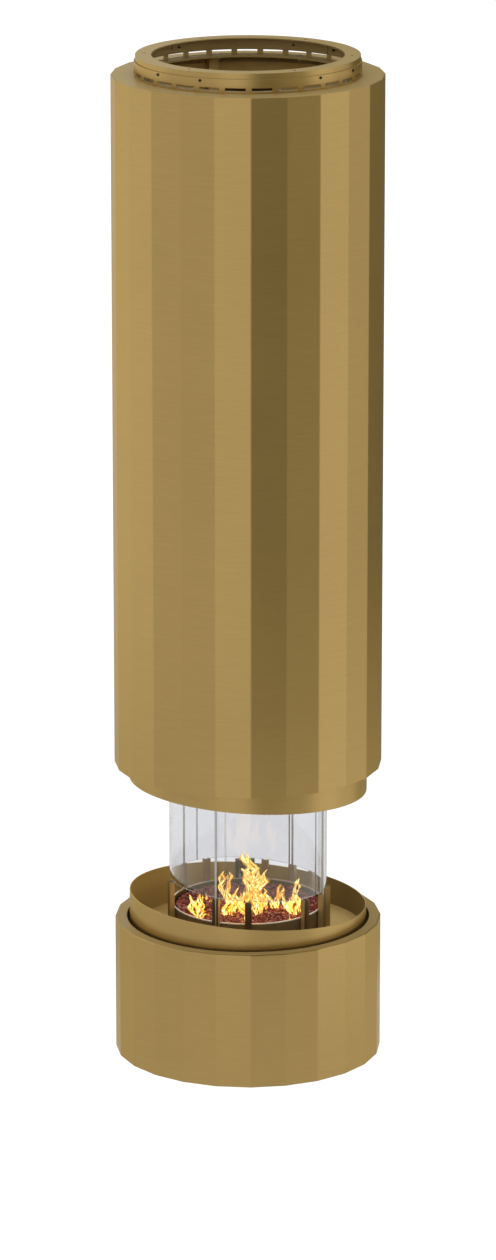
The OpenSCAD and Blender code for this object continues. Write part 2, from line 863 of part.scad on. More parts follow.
module pot_frame() {
    high = z_frame + bulkhead_thickness;
    color(steel_grey) difference() {
        prism(plate_corner, z_frame, high);
        barrel(150, z_frame - 1, high + 1);
        for (turn = rod_angles) around(turn, rod_circle) barrel(rod_radius + seat_gap, z_frame - 1, high + 1);
        around(pilot_turn, pilot_circle) barrel(8, z_frame - 1, high + 1);
    }
}

module base_plate() {
    low = z_floor_low - 1;
    high = z_floor_top + 1;
    color(brass_gold) difference() {
        prism(plate_corner, z_floor_low, z_floor_top);
        box([-hatch_width / 2, hatch_offset, low], [hatch_width / 2, hatch_offset + hatch_length, high]);
        translate([-inlet_offset, 0, 0]) barrel(35, low, high);
        for (i = [-3:3]) box([160, 20 * i - 3, low], [260, 20 * i + 3, high]);
        at_base_screws() barrel(m5_radius + seat_gap, low, high);
    }
}

module base_screws() {
    color(black_oxide) at_base_screws() {
        barrel(m5_radius, z_floor_low - 1, z_floor_top + 8);
        barrel(4.5, z_floor_low - 2.5, z_floor_low);
    }
}

module knuckles(first) {
    for (i = [first:2:4])
        spoke(knuckle_radius, knuckle_edges[i] + knuckle_gap, knuckle_edges[i + 1] - knuckle_gap);
}

module service_hatch() {
    edge = 1.5;
    leaf = z_floor_low - 1.5;
    near = hatch_offset + edge;
    far = hatch_offset + hatch_length - edge;
    color(brass_gold) difference() {
        union() {
            box([edge - hatch_width / 2, near, z_floor_low], [hatch_width / 2 - edge, far, z_floor_top]);
            box([-20, near, z_floor_low - 5], [20, near + 1.5, z_floor_low + 1]);
            box([-hinge_half, far - 14, leaf], [hinge_half, far, z_floor_low]);
            translate([0, hinge_y, z_hinge]) knuckles(1);
            for (i = [1, 3]) box([knuckle_edges[i] + knuckle_gap, far - 1, leaf],
                [knuckle_edges[i + 1] - knuckle_gap, hinge_y, z_floor_low - 0.3]);
        }
        translate([0, hinge_y, z_hinge]) spoke(pin_radius + run_gap, -reach, reach);
    }
}

module hatch_hinge() {
    leaf = z_floor_low - 1.5;
    color(steel_grey) {
        box([-hinge_half, hinge_y + 3, leaf], [hinge_half, hinge_y + 16, z_floor_low]);
        translate([0, hinge_y, z_hinge]) {
            knuckles(0);
            spoke(pin_radius, -hinge_half - 1, hinge_half + 1);
        }
        for (i = [0, 2, 4]) box([knuckle_edges[i] + knuckle_gap, hinge_y, leaf],
            [knuckle_edges[i + 1] - knuckle_gap, hinge_y + 4, z_floor_low - 0.3]);
    }
}

module hatch_catches() {
    color(black_oxide) for (side = [-1, 1]) translate([side * 70, 0, 0]) {
        box([-12, hatch_offset - 20, z_floor_top], [12, hatch_offset - 0.5, z_floor_top + 9]);
        box([-12, hatch_offset - 1, z_floor_top + seat_gap], [12, hatch_offset + 12, z_floor_top + 9]);
    }
}

// Gas gear

module gas_inlet() {
    high = z_inlet + inlet_length;
    color(brass_gold) translate([-inlet_offset, 0, 0]) {
        barrel(inlet_radius, z_inlet, high + 1);
        translate([0, 0, high]) cylinder(r = inlet_radius + 4, h = inlet_hex, $fn = 6);
    }
}

module inlet_bracket() {
    high = z_inlet + inlet_length + inlet_hex;
    color(steel_grey) translate([-inlet_offset, 0, 0]) difference() {
        box([-55, -15, z_floor_top], [55, 15, high + plate]);
        box([-55 + plate, -16, z_floor_top - 1], [55 - plate, 16, high]);
        barrel(gas_radius + 0.5, high - 1, high + plate + 1);
    }
}

module gas_pipes() {
    inlet_top = z_inlet + inlet_length + inlet_hex;
    color(steel_grey) {
        translate([-inlet_offset, 0, 0]) barrel(gas_radius, inlet_top, z_line - elbow_radius);
        translate([elbow_radius - inlet_offset, 0, z_line - elbow_radius]) rotate([90, 0, 0])
            rotate([0, 0, 90]) rotate_extrude(angle = 90) translate([elbow_radius, 0]) circle(r = gas_radius);
        translate([0, 0, z_line]) {
            spoke(gas_radius, elbow_radius - inlet_offset, shutoff_ends[0]);
            spoke(gas_radius, shutoff_ends[1], -valve_half[0]);
        }
        barrel(gas_radius - 1.5, z_valve_top, z_jet);
    }
}

module shutoff_valve() {
    color(brass_gold) translate([0, 0, z_line]) {
        spoke(14, shutoff_ends[0] + 10, shutoff_ends[1] - 10);
        for (x = [shutoff_ends[0], shutoff_ends[1] - 12])
            translate([x, 0, 0]) rotate([0, 90, 0]) cylinder(r = 13, h = 12, $fn = 6);
        translate([shutoff_stem, 0, 0]) {
            barrel(8, 0, 22);
            barrel(shutoff_radius, 20, 34);
        }
    }
}

module shutoff_lever() {
    low = z_line + 22 + seat_gap;
    color([0.75, 0.16, 0.1]) translate([shutoff_stem, 0, 0]) difference() {
        union() {
            barrel(10, low, low + 8);
            box([-82, -8, low + 3], [0, 8, low + 6]);
            translate([-82, 0, 0]) barrel(8, low + 3, low + 6);
        }
        barrel(shutoff_radius + run_gap, low - 1, low + 20);
    }
}

module gas_valve() {
    color(steel_grey) {
        translate([0, 0, z_line]) box(-valve_half, valve_half);
        translate([knob_x, valve_half[1] - 1, z_line]) rotate([-90, 0, 0]) {
            cylinder(r = 12, h = 3);
            cylinder(r = knob_stem, h = 21);
        }
        translate([-knob_x, 0, 0]) barrel(20, z_valve_top - 1, z_valve_top + 12);
    }
}

module valve_bracket() {
    color(steel_grey) difference() {
        box([-50, -30, z_floor_top], [50, 30, z_line - valve_half[2]]);
        box([-50 + plate, -31, z_floor_top + plate], [50 - plate, 31, z_line - valve_half[2] - plate]);
    }
}

module valve_knob() {
    front = valve_half[1] + 2 + seat_gap;
    color(black_oxide) translate([knob_x, front, z_line]) rotate([-90, 0, 0]) difference() {
        union() {
            cylinder(r = 20, h = 16);
            box([-4, -19, 15], [4, 19, 22]);
        }
        translate([0, 0, -1]) cylinder(r = knob_stem + run_gap, h = 24);
    }
}

module control_box() {
    color(black_oxide) {
        box([-85, -200, z_floor_top], [85, -110, z_floor_top + 50]);
        box([-80, -195, z_floor_top + 49], [80, -115, z_floor_top + 54]);
    }
}

ceiling_ring();
vent_collar();
collar_screws();
casing_top_plate();
flange_bolts();
casing_front();
casing_rear();
seam_straps();
hanger_bars();
bulkhead_plate();
hood_plate();
hood_collar();
smoke_chamber();
smoke_cone();
flue_pipe();
pipe_spider();
damper_bushes();
damper_spindle();
damper_plate();
damper_lever();
suspension_rods();
rod_nuts();
glass_carrier();
clamp_ring();
carrier_screws();
guide_bushes();
glass_panel_1();
glass_panel_2();
glass_panel_3();
glass_panel_4();
glass_posts();
hearth_tray();
burner_pan();
pan_rim();
bed_grate();
lava_bed();
burner_ring();
venturi_tube();
air_shutter();
gas_jet();
pilot_shield();
pilot_burner();
ignition_electrode();
pilot_pipe();
pot_shell();
pot_frame();
base_plate();
base_screws();
service_hatch();
hatch_hinge();
hatch_catches();
gas_inlet();
inlet_bracket();
gas_pipes();
shutoff_valve();
shutoff_lever();
gas_valve();
valve_bracket();
valve_knob();
control_box();
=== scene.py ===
import math
import random

import bmesh
import bpy
import numpy as np
from mathutils import Matrix, Vector


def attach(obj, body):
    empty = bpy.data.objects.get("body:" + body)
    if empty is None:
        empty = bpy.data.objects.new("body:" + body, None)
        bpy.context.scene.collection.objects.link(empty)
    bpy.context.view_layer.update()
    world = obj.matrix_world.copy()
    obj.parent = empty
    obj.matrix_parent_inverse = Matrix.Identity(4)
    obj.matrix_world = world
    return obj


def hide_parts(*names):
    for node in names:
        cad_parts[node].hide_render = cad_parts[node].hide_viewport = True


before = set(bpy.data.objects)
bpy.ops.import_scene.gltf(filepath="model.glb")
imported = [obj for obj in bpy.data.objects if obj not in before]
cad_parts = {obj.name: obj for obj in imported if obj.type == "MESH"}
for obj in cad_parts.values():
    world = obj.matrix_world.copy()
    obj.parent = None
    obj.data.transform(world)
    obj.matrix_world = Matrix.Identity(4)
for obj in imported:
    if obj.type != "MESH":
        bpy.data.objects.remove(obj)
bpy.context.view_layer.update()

# Ceiling ring and vent collar: rolled steel rings in a satin brass lacquer. The ring is screwed
# to the ceiling by its inward flange, and the slotted collar slides up over its skirt, so that
# the joint between the two can be set to the room's height.

BRASS = (0.42, 0.282, 0.098)
BRASS_ROUGHNESS = 0.30
# A face counts as outward where its normal, times its distance from the axis, is at least this,
# and as level where its normal's upward share, squared, is more than this.
OUTWARD_FROM, LEVEL_FROM = 0.05, 0.5

# The direction to the right on the photographed side, where the slanted rims are low.
VIEW_RIGHT = Vector((0.960, -0.279, 0))

# Where painted shade begins and is full on the walls round the fire, in metres to the right of the
# axis, for the low side and for the high side, and how much of it the high side has.
PAINTED_SHADE_LOW_SIDE, PAINTED_SHADE_HIGH_SIDE, PAINTED_SHADE_HIGH_SHARE = (0.05, 0.26), (-0.17, -0.29), 0.36


class Reading:
    """What one shader socket gives, with the sums that the finishes are written in."""

    def __init__(self, finish, socket):
        self.finish = finish
        self.socket = socket

    def sum(self, operation, *numbers):
        return self.finish.node("ShaderNodeMath", {"operation": operation}, dict(enumerate(numbers)))

    def __add__(self, other):
        return self.sum("ADD", self, other)

    def __sub__(self, other):
        return self.sum("SUBTRACT", self, other)

    def __rsub__(self, other):
        return self.sum("SUBTRACT", other, self)

    def __mul__(self, other):
        return self.sum("MULTIPLY", self, other)

    def __gt__(self, other):
        return self.sum("GREATER_THAN", self, other)

    def __lt__(self, other):
        return self.sum("LESS_THAN", self, other)

    __radd__ = __add__
    __rmul__ = __mul__


class Finish:
    """One material: a Principled shader, and the nodes that vary its colour, gloss and relief."""

    def __init__(self, name, **levels):
        self.material = bpy.data.materials.new(name)
        self.material.use_nodes = True
        self.tree = self.material.node_tree
        self.shader = self.tree.nodes["Principled BSDF"]
        self.place = self.node("ShaderNodeTexCoord", {}, {}, "Object")
        for socket, level in levels.items():
            self.set(socket, level)

    def node(self, kind, settings, sockets, output=0):
        """Adds a node, fills its settings and its sockets, and reads one of its outputs."""
        made = self.tree.nodes.new(kind)
        for name, value in settings.items():
            if name == "stops":
                elements = made.color_ramp.elements
                while len(elements) < len(value):
                    elements.new(1.0)
                for element, (position, colour) in zip(elements, value):
                    element.position = position
                    element.color = (*colour, 1.0)
            else:
                setattr(made, name, value)
        for name, value in sockets.items():
            if isinstance(value, Reading):
                self.tree.links.new(value.socket, made.inputs[name])
            else:
                made.inputs[name].default_value = value
        return Reading(self, made.outputs[output])

    def set(self, socket, value):
        """Fills one socket of the Principled shader, named with _ for each space."""
        entry = self.shader.inputs[socket.replace("_", " ")]
        if isinstance(value, Reading):
            self.tree.links.new(value.socket, entry)
        elif entry.type == "RGBA":
            entry.default_value = (*value, 1.0)
        else:
            entry.default_value = value

    def noise(self, scale, stretch=(1, 1, 1), detail=2.0, roughness=0.5):
        """Cloudy noise from 0 to 1, with about `scale` clouds to the metre, or as many times that
        along each axis as `stretch` says."""
        stretched = self.node("ShaderNodeMapping", {}, {"Vector": self.place, "Scale": stretch})
        return self.node("ShaderNodeTexNoise", {"noise_dimensions": "3D"},
                         {"Vector": stretched, "Scale": scale, "Detail": detail, "Roughness": roughness})

    def ramp(self, share, *stops):
        """A colour that runs through stops of (position, colour)."""
        return self.node("ShaderNodeValToRGB", {"stops": stops}, {"Fac": share})

    def blend(self, share, first, second):
        """A colour between two others."""
        ends = [end if isinstance(end, Reading) else (*end, 1.0) for end in (first, second)]
        return self.node("ShaderNodeMix", {"data_type": "RGBA"}, {0: share, 6: ends[0], 7: ends[1]}, 2)

    def spread(self, value, start, stop, low=0.0, high=1.0):
        """Runs from `low` to `high` while a value runs from `start` to `stop`."""
        return self.node("ShaderNodeMapRange", {}, {"Value": value, 1: start, 2: stop, 3: low, 4: high})

    def mark(self, name):
        """A number that the mesh carries on its points or faces."""
        return self.node("ShaderNodeAttribute", {"attribute_name": name}, {}, "Fac")

    def dot(self, first, second):
        return self.node("ShaderNodeVectorMath", {"operation": "DOT_PRODUCT"}, {0: first, 1: second}, "Value")

    def height(self, vector):
        return self.node("ShaderNodeSeparateXYZ", {}, {"Vector": vector}, 2)

    def normal(self):
        return self.node("ShaderNodeNewGeometry", {}, {}, "True Normal")

    def inward(self):
        """1 on faces that look towards the axis, up or down, and 0 on faces that look outward."""
        reach = self.node("ShaderNodeVectorMath", {"operation": "MULTIPLY"}, {0: self.place, 1: (1, 1, 0)})
        return self.dot(self.normal(), reach) < OUTWARD_FROM

    def level(self):
        """1 on faces that look up or down, and 0 on upright ones."""
        rise = self.height(self.normal())
        return rise * rise > LEVEL_FROM

    def relief(self, height, distance, strength=1.0, edge=0.0):
        """Fine relief, and edges that look rounded where `edge` gives them a radius in metres."""
        sockets = {"Height": height, "Distance": distance, "Strength": strength}
        if edge:
            sockets["Normal"] = self.node("ShaderNodeBevel", {"samples": 4}, {"Radius": edge})
        self.set("Normal", self.node("ShaderNodeBump", {}, sockets))


def tint(colour, factor):
    return tuple(min(1.0, part * factor) for part in colour)


def brass_finish(name, edge, inner_painted_tone, level, soot_and_painted_shade=None):
    """Satin brass lacquer on steel: a soft metal sheen outside with a very fine grain round the
    sheet, and a thinner, matter coat on the inner and level faces. The colour of those faces is
    painted light and shade: inner faces and level faces each get their own tone for how lit or
    shaded they are. Painted shade can darken the inner faces at both sides of the fire, most of all
    where the rims are low."""
    finish = Finish(name, Specular_Tint=(0.86, 0.73, 0.47), Coat_Weight=0.11, Coat_Roughness=0.32)
    # Inward faces get a matter coat, and their colour is painted light and shade.
    matt_and_painted = finish.inward()
    cloud = finish.noise(2.2, detail=3)
    streak = finish.noise(1.0, stretch=(12, 12, 330), detail=4, roughness=0.65)
    speck = finish.noise(420, detail=2)
    shade = cloud * 0.30 + streak * 0.45 + speck * 0.25
    sheen = finish.blend(shade, tint(BRASS, 0.76), tint(BRASS, 1.24))
    # Painted light and shade: one tone for inner walls and one for level faces, set by how lit they are.
    painted_wall_tone = finish.blend(shade, tint(inner_painted_tone, 0.85), tint(inner_painted_tone, 1.15))
    # Painted shade: darker inner walls at both sides of the fire, most on the low side to the right.
    if soot_and_painted_shade:
        across = finish.dot(finish.place, VIEW_RIGHT)
        low_side = finish.spread(across, *PAINTED_SHADE_LOW_SIDE)
        high_side = finish.spread(across, *PAINTED_SHADE_HIGH_SIDE, high=PAINTED_SHADE_HIGH_SHARE)
        painted_wall_tone = finish.blend(low_side + high_side, painted_wall_tone, soot_and_painted_shade)
    painted_flat_tone = finish.blend(shade, tint(level, 0.85), tint(level, 1.15))
    lacquer = finish.blend(finish.level(), painted_wall_tone, painted_flat_tone)
    finish.set("Base_Color", finish.blend(matt_and_painted, sheen, lacquer))
    finish.set("Metallic", 0.90 - matt_and_painted * 0.62)
    finish.set("Roughness", BRASS_ROUGHNESS - 0.06 + cloud * 0.06 + streak * 0.06 + matt_and_painted * 0.2)
    finish.relief(streak * 0.6 + speck * 0.4, 0.00006, strength=0.5, edge=edge)
    return finish.material


def dress(material, *nodes):
    """Gives nodes of the solid model their finish."""
    for node in nodes:
        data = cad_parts[node].data
        data.materials.clear()
        data.materials.append(material)


# Painted light and shade: after the edge radius come the tone painted on inner faces, then the tone painted
# on level faces.
brass = brass_finish("satin_brass_lacquer", 0.0, (0.72, 0.50, 0.175), (0.42, 0.30, 0.115))
edged_brass = brass_finish("satin_brass_lacquer_edged", 0.0007, (0.36, 0.25, 0.09), (0.38, 0.272, 0.100))
dress(edged_brass, "ceiling_ring", "vent_collar")

# Collar screws: socket screws, blackened in an oxide bath, in four pairs that lock the collar on
# the ring.

finish = Finish("black_oxide", Metallic=0.85)
blotch = finish.noise(160, detail=3)
finish.set("Base_Color", finish.blend(blotch, (0.020, 0.019, 0.018), (0.048, 0.044, 0.040)))
finish.set("Roughness", 0.38 + blotch * 0.2)
finish.relief(finish.noise(2600), 0.00003, strength=0.4, edge=0.0003)
black_oxide = finish.material
dress(black_oxide, "collar_screws")

# Casing top plate: a flat plate with a folded rim in the same lacquer. The collar's foot tabs plug
# into it, and the upper edges of the two casing shells hang over its rim.

dress(edged_brass, "casing_top_plate")

# Casing: two half shells of 2 mm steel sheet, folded to twelve flats each and lacquered. They
# close round the frame and meet in two upright seams on the axis of the slanted hood.

CASING_CORNER = 0.350
CASING_TOP, CASING_BOTTOM = -0.051, -1.869
SIDES = 24
SHEET = 0.002
FOLD = 0.0025
SEAM = 0.00015
SHEET_EDGE = 0.0005

# Edges that turn by more than SHARP are rounded, an upright edge rises by more than UPRIGHT_RISE,
# and a point within NEAR of a plane counts as on it.
SHARP = math.radians(50)
UPRIGHT_RISE = 0.05
NEAR = 0.001


def deselect():
    bpy.ops.object.select_all(action="DESELECT")


def pick(mesh_object, kind, test):
    """In edit mode, selects the faces or edges whose middle passes a test."""
    bpy.ops.mesh.select_mode(type=kind)
    bpy.ops.mesh.select_all(action="DESELECT")
    mesh = bmesh.from_edit_mesh(mesh_object.data)
    for item in mesh.faces if kind == "FACE" else mesh.edges:
        corners = [vertex.co for vertex in item.verts]
        item.select_set(bool(test(sum(corners, Vector()) / len(corners), item)))
    bmesh.update_edit_mesh(mesh_object.data)


def activate(made):
    deselect()
    made.select_set(True)
    bpy.context.view_layer.objects.active = made


def shape_with(made, kind, **settings):
    """Adds one modifier and applies it."""
    activate(made)
    modifier = made.modifiers.new(kind.lower(), kind)
    for name, value in settings.items():
        setattr(modifier, name, value)
    bpy.ops.object.modifier_apply(modifier=modifier.name)


def round_edges(made, width, segments=2):
    shape_with(made, "BEVEL", width=width, segments=segments, limit_method="ANGLE",
               angle_limit=SHARP, use_clamp_overlap=True)


def tube(sides, radius, low, high, cap="NOTHING"):
    """An upright tube about the axis, left in edit mode."""
    deselect()
    bpy.ops.mesh.primitive_cylinder_add(vertices=sides, radius=radius, depth=high - low,
                                        end_fill_type=cap, location=(0, 0, (low + high) / 2))
    bpy.ops.object.transform_apply(location=True, rotation=True, scale=True)
    made = bpy.context.object
    bpy.ops.object.mode_set(mode="EDIT")
    return made


def hand_over(made, name, material, slot, body, *nodes):
    """Names a finished piece and gives it its finish, its body and the nodes that it stands for."""
    made.name = made.data.name = name
    made.data.materials.clear()
    made.data.materials.append(material)
    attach(made, body)
    if nodes:
        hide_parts(*nodes)


def upright(edge):
    start, stop = (vertex.co for vertex in edge.verts)
    return abs(start.z - stop.z) > UPRIGHT_RISE


for side, node in ((-1, "casing_front"), (1, "casing_rear")):
    shell = tube(SIDES, CASING_CORNER, CASING_BOTTOM, CASING_TOP)
    pick(shell, "FACE", lambda middle, face: middle.y * side < 0)
    bpy.ops.mesh.delete(type="FACE")
    pick(shell, "EDGE", lambda middle, edge: upright(edge) and abs(middle.y) < NEAR)
    bpy.ops.transform.translate(value=(0, side * SEAM, 0))
    pick(shell, "EDGE", lambda middle, edge: upright(edge) and abs(middle.y) > NEAR)
    bpy.ops.mesh.bevel(offset=FOLD, segments=2, affect="EDGES")
    bpy.ops.object.mode_set(mode="OBJECT")
    shape_with(shell, "SOLIDIFY", thickness=SHEET, offset=-1, use_even_offset=True)
    round_edges(shell, SHEET_EDGE)
    hand_over(shell, node + "_folded", brass, "brass_gold", "root", node)

# Frame inside the casing: four lacquered square bars hang between the top plate and the hood
# plate, with seam straps behind the casing's seams. A bulkhead plate of hot rolled steel between
# them carries the rods, and a spider keeps the flue pipe upright.

finish = Finish("hot_rolled_steel", Metallic=0.9)
scale = finish.noise(22, detail=4, roughness=0.65)
finish.set("Base_Color", finish.blend(scale, (0.030, 0.026, 0.022), (0.070, 0.060, 0.048)))
finish.set("Roughness", 0.46 + scale * 0.2)
finish.relief(scale, 0.0001, strength=0.4, edge=0.001)
dress(finish.material, "bulkhead_plate", "pipe_spider")
dress(brass, "seam_straps", "hanger_bars")

finish = Finish("zinc_plated_steel", Metallic=1.0)
haze = finish.noise(30, detail=4)
finish.set("Base_Color", finish.blend(haze, (0.42, 0.43, 0.45), (0.60, 0.61, 0.62)))
finish.set("Roughness", 0.34 + haze * 0.18)
finish.relief(finish.noise(700), 0.00004, strength=0.4, edge=0.0006)
zinc = finish.material

finish = Finish("stainless_sheet", Metallic=1.0)
rolled = finish.noise(1.0, stretch=(30, 30, 900), detail=3, roughness=0.6)
cloud = finish.noise(6, detail=3)
finish.set("Base_Color", finish.blend(cloud, (0.50, 0.48, 0.45), (0.66, 0.64, 0.61)))
finish.set("Roughness", 0.24 + rolled * 0.16)
finish.relief(rolled, 0.00005, strength=0.4, edge=0.0005)
stainless = finish.material
dress(stainless, "flange_bolts")

# Flue pipe and throttle: thin stainless tube from the smoke cone up to the spigot inside the ceiling
# ring, coloured dark brown all over as painted shade, so that it shows dark through the collar's
# slots. A plate on a spindle throttles it, turned by a zinc plated lever.

finish = Finish("painted_shade_stainless", Metallic=1.0)
# Painted shade: a dark brown all over the pipe.
painted_shade_mottle = finish.noise(9, detail=4)
finish.set("Base_Color", finish.blend(painted_shade_mottle, (0.075, 0.050, 0.028), (0.150, 0.105, 0.055)))
finish.set("Roughness", 0.34 + painted_shade_mottle * 0.15)
finish.relief(finish.noise(1.0, stretch=(30, 30, 700)), 0.00004, strength=0.3)
dress(finish.material, "flue_pipe")
dress(stainless, "damper_plate", "damper_spindle", "damper_bushes")
dress(zinc, "damper_lever")

# Suspension rods and their nuts: four ground stainless rods with a satin finish. They carry the
# pot from the bulkhead and guide the glass, and nuts lock them above and below.

finish = Finish("satin_rod", Metallic=1.0)
buff = finish.noise(1.0, stretch=(60, 60, 900), detail=2)
finish.set("Base_Color", finish.blend(buff, (0.48, 0.48, 0.47), (0.58, 0.58, 0.57)))
finish.set("Roughness", 0.38 + buff * 0.10)
finish.relief(buff, 0.00002, strength=0.2)
dress(finish.material, "suspension_rods", "rod_nuts")

# Smoke chamber and cone: stainless sheet over the fire, which leads the smoke into the flue pipe.
# Heat has tinted it, more towards its lower end.

COOL_ABOVE, WARMTH_PER_METRE = -1.35, 1.6

finish = Finish("heat_tinted_stainless", Metallic=1.0)
cloud = finish.noise(5, detail=4)
warmth = (COOL_ABOVE - finish.height(finish.place)) * WARMTH_PER_METRE + cloud * 0.35
finish.set("Base_Color", finish.ramp(warmth, (0.0, (0.52, 0.50, 0.47)), (0.45, (0.50, 0.44, 0.34)),
                                     (0.75, (0.40, 0.32, 0.24)), (1.0, (0.25, 0.22, 0.24))))
finish.set("Roughness", 0.32 + cloud * 0.15)
finish.relief(finish.noise(1.0, stretch=(30, 30, 700)), 0.00005, strength=0.4)
dress(finish.material, "smoke_chamber", "smoke_cone")

# Hood: a flat plate closes the casing's lower end, and a rolled collar is bolted under it. The
# collar's lower edge is cut on a slant that falls towards the object's low side.

HOOD_RADIUS, HOOD_WALL, HOOD_FOOT = 0.3115, 0.0025, 0.028
HOOD_TOP, HOOD_EDGE = -1.867, -1.928
HOOD_SLANT = math.radians(3.5)
HOOD_LIP = 0.0008
ROUND = 192
# How much longer a tube is drawn than its slanted cut leaves it.
SPARE = 0.05


def slant_cut(height, slant, keep_above):
    """In edit mode, cuts the mesh on a plane that falls towards +X, and keeps one side."""
    bpy.ops.mesh.select_all(action="SELECT")
    bpy.ops.mesh.bisect(plane_co=(0, 0, height), plane_no=(math.sin(slant), 0, math.cos(slant)),
                        clear_inner=keep_above, clear_outer=not keep_above)


def smooth(made, angle=12):
    activate(made)
    bpy.ops.object.shade_smooth_by_angle(angle=math.radians(angle))


dress(edged_brass, "hood_plate")
hood = tube(ROUND, HOOD_RADIUS, HOOD_EDGE - SPARE, HOOD_TOP)
slant_cut(HOOD_EDGE, HOOD_SLANT, keep_above=True)
pick(hood, "EDGE", lambda middle, edge: middle.z > HOOD_TOP - NEAR and not upright(edge))
bpy.ops.mesh.extrude_region_move(TRANSFORM_OT_translate={"value": (0, 0, 0)})
shrink = 1 - HOOD_FOOT / HOOD_RADIUS
bpy.ops.transform.resize(value=(shrink, shrink, 1), center_override=(0, 0, HOOD_TOP))
bpy.ops.object.mode_set(mode="OBJECT")
shape_with(hood, "SOLIDIFY", thickness=HOOD_WALL, offset=-1, use_even_offset=True)
round_edges(hood, HOOD_LIP, 3)
smooth(hood)
hand_over(hood, "hood_collar_rolled", brass, "brass_gold", "root", "hood_collar")

# Glass carrier: a machined ring that clamps the four panes with an inner ring and black screws. It
# slides on the four rods by dry graphite bushes.

dress(stainless, "glass_carrier", "clamp_ring")
dress(black_oxide, "carrier_screws")
finish = Finish("graphite_bushes", Roughness=0.5)
pressed = finish.noise(900, detail=3)
finish.set("Base_Color", finish.blend(pressed, (0.015, 0.015, 0.016), (0.045, 0.045, 0.047)))
finish.relief(finish.noise(2400), 0.00005, strength=0.3)
dress(finish.material, "guide_bushes")

# Glass: four curved panes of fire glass, 5 mm thick, with ground edges, tinted darker towards the
# front as painted shade. They stand joint to joint with a 2 mm gap, cut at the bottom on the slant of the
# posts.

GLASS_RADIUS, GLASS_THICKNESS = 0.207, 0.005
GLASS_TOP, GLASS_BOTTOM = -1.812, -2.197
GLASS_SLANT = math.radians(4)
GLASS_JOINTS = (-122.7, -47.2, 40.8, 116.3)
JOINT_GAP = 0.002
GLASS_EDGE = 0.0007
GLASS_SIDES = 240

# The direction away from the camera, and where the painted shade on the glass begins and is full,
# in metres from the axis towards the camera.
VIEW_AWAY = Vector((0.279, 0.960, 0))
GLASS_SHADE_FROM, GLASS_SHADE_TO = -0.12, 0.12

finish = Finish("clear_fire_glass", IOR=1.55, Transmission_Weight=1.0, Specular_Tint=(1.0, 0.96, 0.76))
film = finish.noise(5, stretch=(1, 1, 0.5), detail=3)
clear = finish.blend(film, (0.90, 0.905, 0.92), (0.96, 0.965, 0.98))
# Painted shade: the panes are darker on the side towards the camera.
painted_shade_tint = finish.blend(film, (0.66, 0.665, 0.68), (0.73, 0.735, 0.75))
painted_shade_share = finish.spread(finish.dot(finish.place, -VIEW_AWAY), GLASS_SHADE_FROM, GLASS_SHADE_TO)
finish.set("Base_Color", finish.blend(painted_shade_share, clear, painted_shade_tint))
finish.set("Roughness", film * 0.012)
clear_glass = finish.material

for index, start in enumerate(GLASS_JOINTS):
    stop = GLASS_JOINTS[(index + 1) % len(GLASS_JOINTS)]
    pane = tube(GLASS_SIDES, GLASS_RADIUS, GLASS_BOTTOM - SPARE, GLASS_TOP)
    for turn, sign in ((math.radians(start), 1), (math.radians(stop), -1)):
        across = Vector((-math.sin(turn), math.cos(turn), 0)) * sign
        bpy.ops.mesh.select_all(action="SELECT")
        bpy.ops.mesh.bisect(plane_co=across * (JOINT_GAP / 2), plane_no=across, clear_inner=True)
    slant_cut(GLASS_BOTTOM, GLASS_SLANT, keep_above=True)
    bpy.ops.object.mode_set(mode="OBJECT")
    shape_with(pane, "SOLIDIFY", thickness=GLASS_THICKNESS, offset=-1)
    round_edges(pane, GLASS_EDGE)
    smooth(pane)
    node = f"glass_panel_{index + 1}"
    hand_over(pane, node + "_ground", clear_glass, "clear_glass", "glass", node)
    pane.visible_shadow = False

# Posts: short upright channels of folded sheet in a dark bronze lacquer, with painted light on their
# faces towards the fire, which are much paler. They stand in a ring on the tray, with the rods in
# four of them, and their tops follow the slant of the glass.

finish = Finish("dark_bronze_lacquer", Metallic=0.55, Coat_Weight=0.3, Coat_Roughness=0.2)
rub = finish.noise(40, stretch=(1, 1, 0.3), detail=4)
lacquer = finish.blend(rub, (0.080, 0.048, 0.030), (0.160, 0.104, 0.058))
# Painted light: the faces towards the fire are much paler than the lacquer.
fire_side_painted_light = finish.blend(rub, (0.360, 0.260, 0.110), (0.460, 0.330, 0.140))
finish.set("Base_Color", finish.blend(finish.inward(), lacquer, fire_side_painted_light))
finish.set("Roughness", 0.24 + rub * 0.2)
finish.relief(finish.noise(1200), 0.00004, strength=0.4, edge=0.0006)
dress(finish.material, "glass_posts")

# Pilot shield and burner pan: sheet in the same lacquer as the posts. The shield is in a darker
# bronze tone, and the pan keeps a smoky brass tone. Both stand on the tray.

for name, low, high, node in (("darker_bronze", (0.060, 0.036, 0.018), (0.120, 0.078, 0.042), "pilot_shield"),
                              ("smoky_brass", (0.130, 0.092, 0.040), (0.230, 0.165, 0.074), "burner_pan")):
    finish = Finish(name, Metallic=0.5, Coat_Weight=0.3, Coat_Roughness=0.2)
    soot_and_painted_shade = finish.noise(30, stretch=(1, 1, 0.3), detail=4)
    finish.set("Base_Color", finish.blend(soot_and_painted_shade, low, high))
    finish.set("Roughness", 0.26 + soot_and_painted_shade * 0.25)
    finish.relief(finish.noise(1200), 0.00004, strength=0.4, edge=0.0006)
    dress(finish.material, node)

# Hearth tray: a round tray of lacquered sheet with a flat floor and a rim that is cut on a slant.
# It stands in the pot's round hole with a dark gap round it.

TRAY_RADIUS, TRAY_WALL = 0.312, 0.0025
TRAY_RIM, TRAY_UNDER = -2.242, -2.3385
TRAY_SLANT = math.radians(4.2)
TRAY_BEND, TRAY_LIP = 0.005, 0.0009
ROD_TURNS = (-129.5, -39, 39, 129.5)
# How far a cutter stands out of the sheet on either side.
CUT_PAST = 0.01

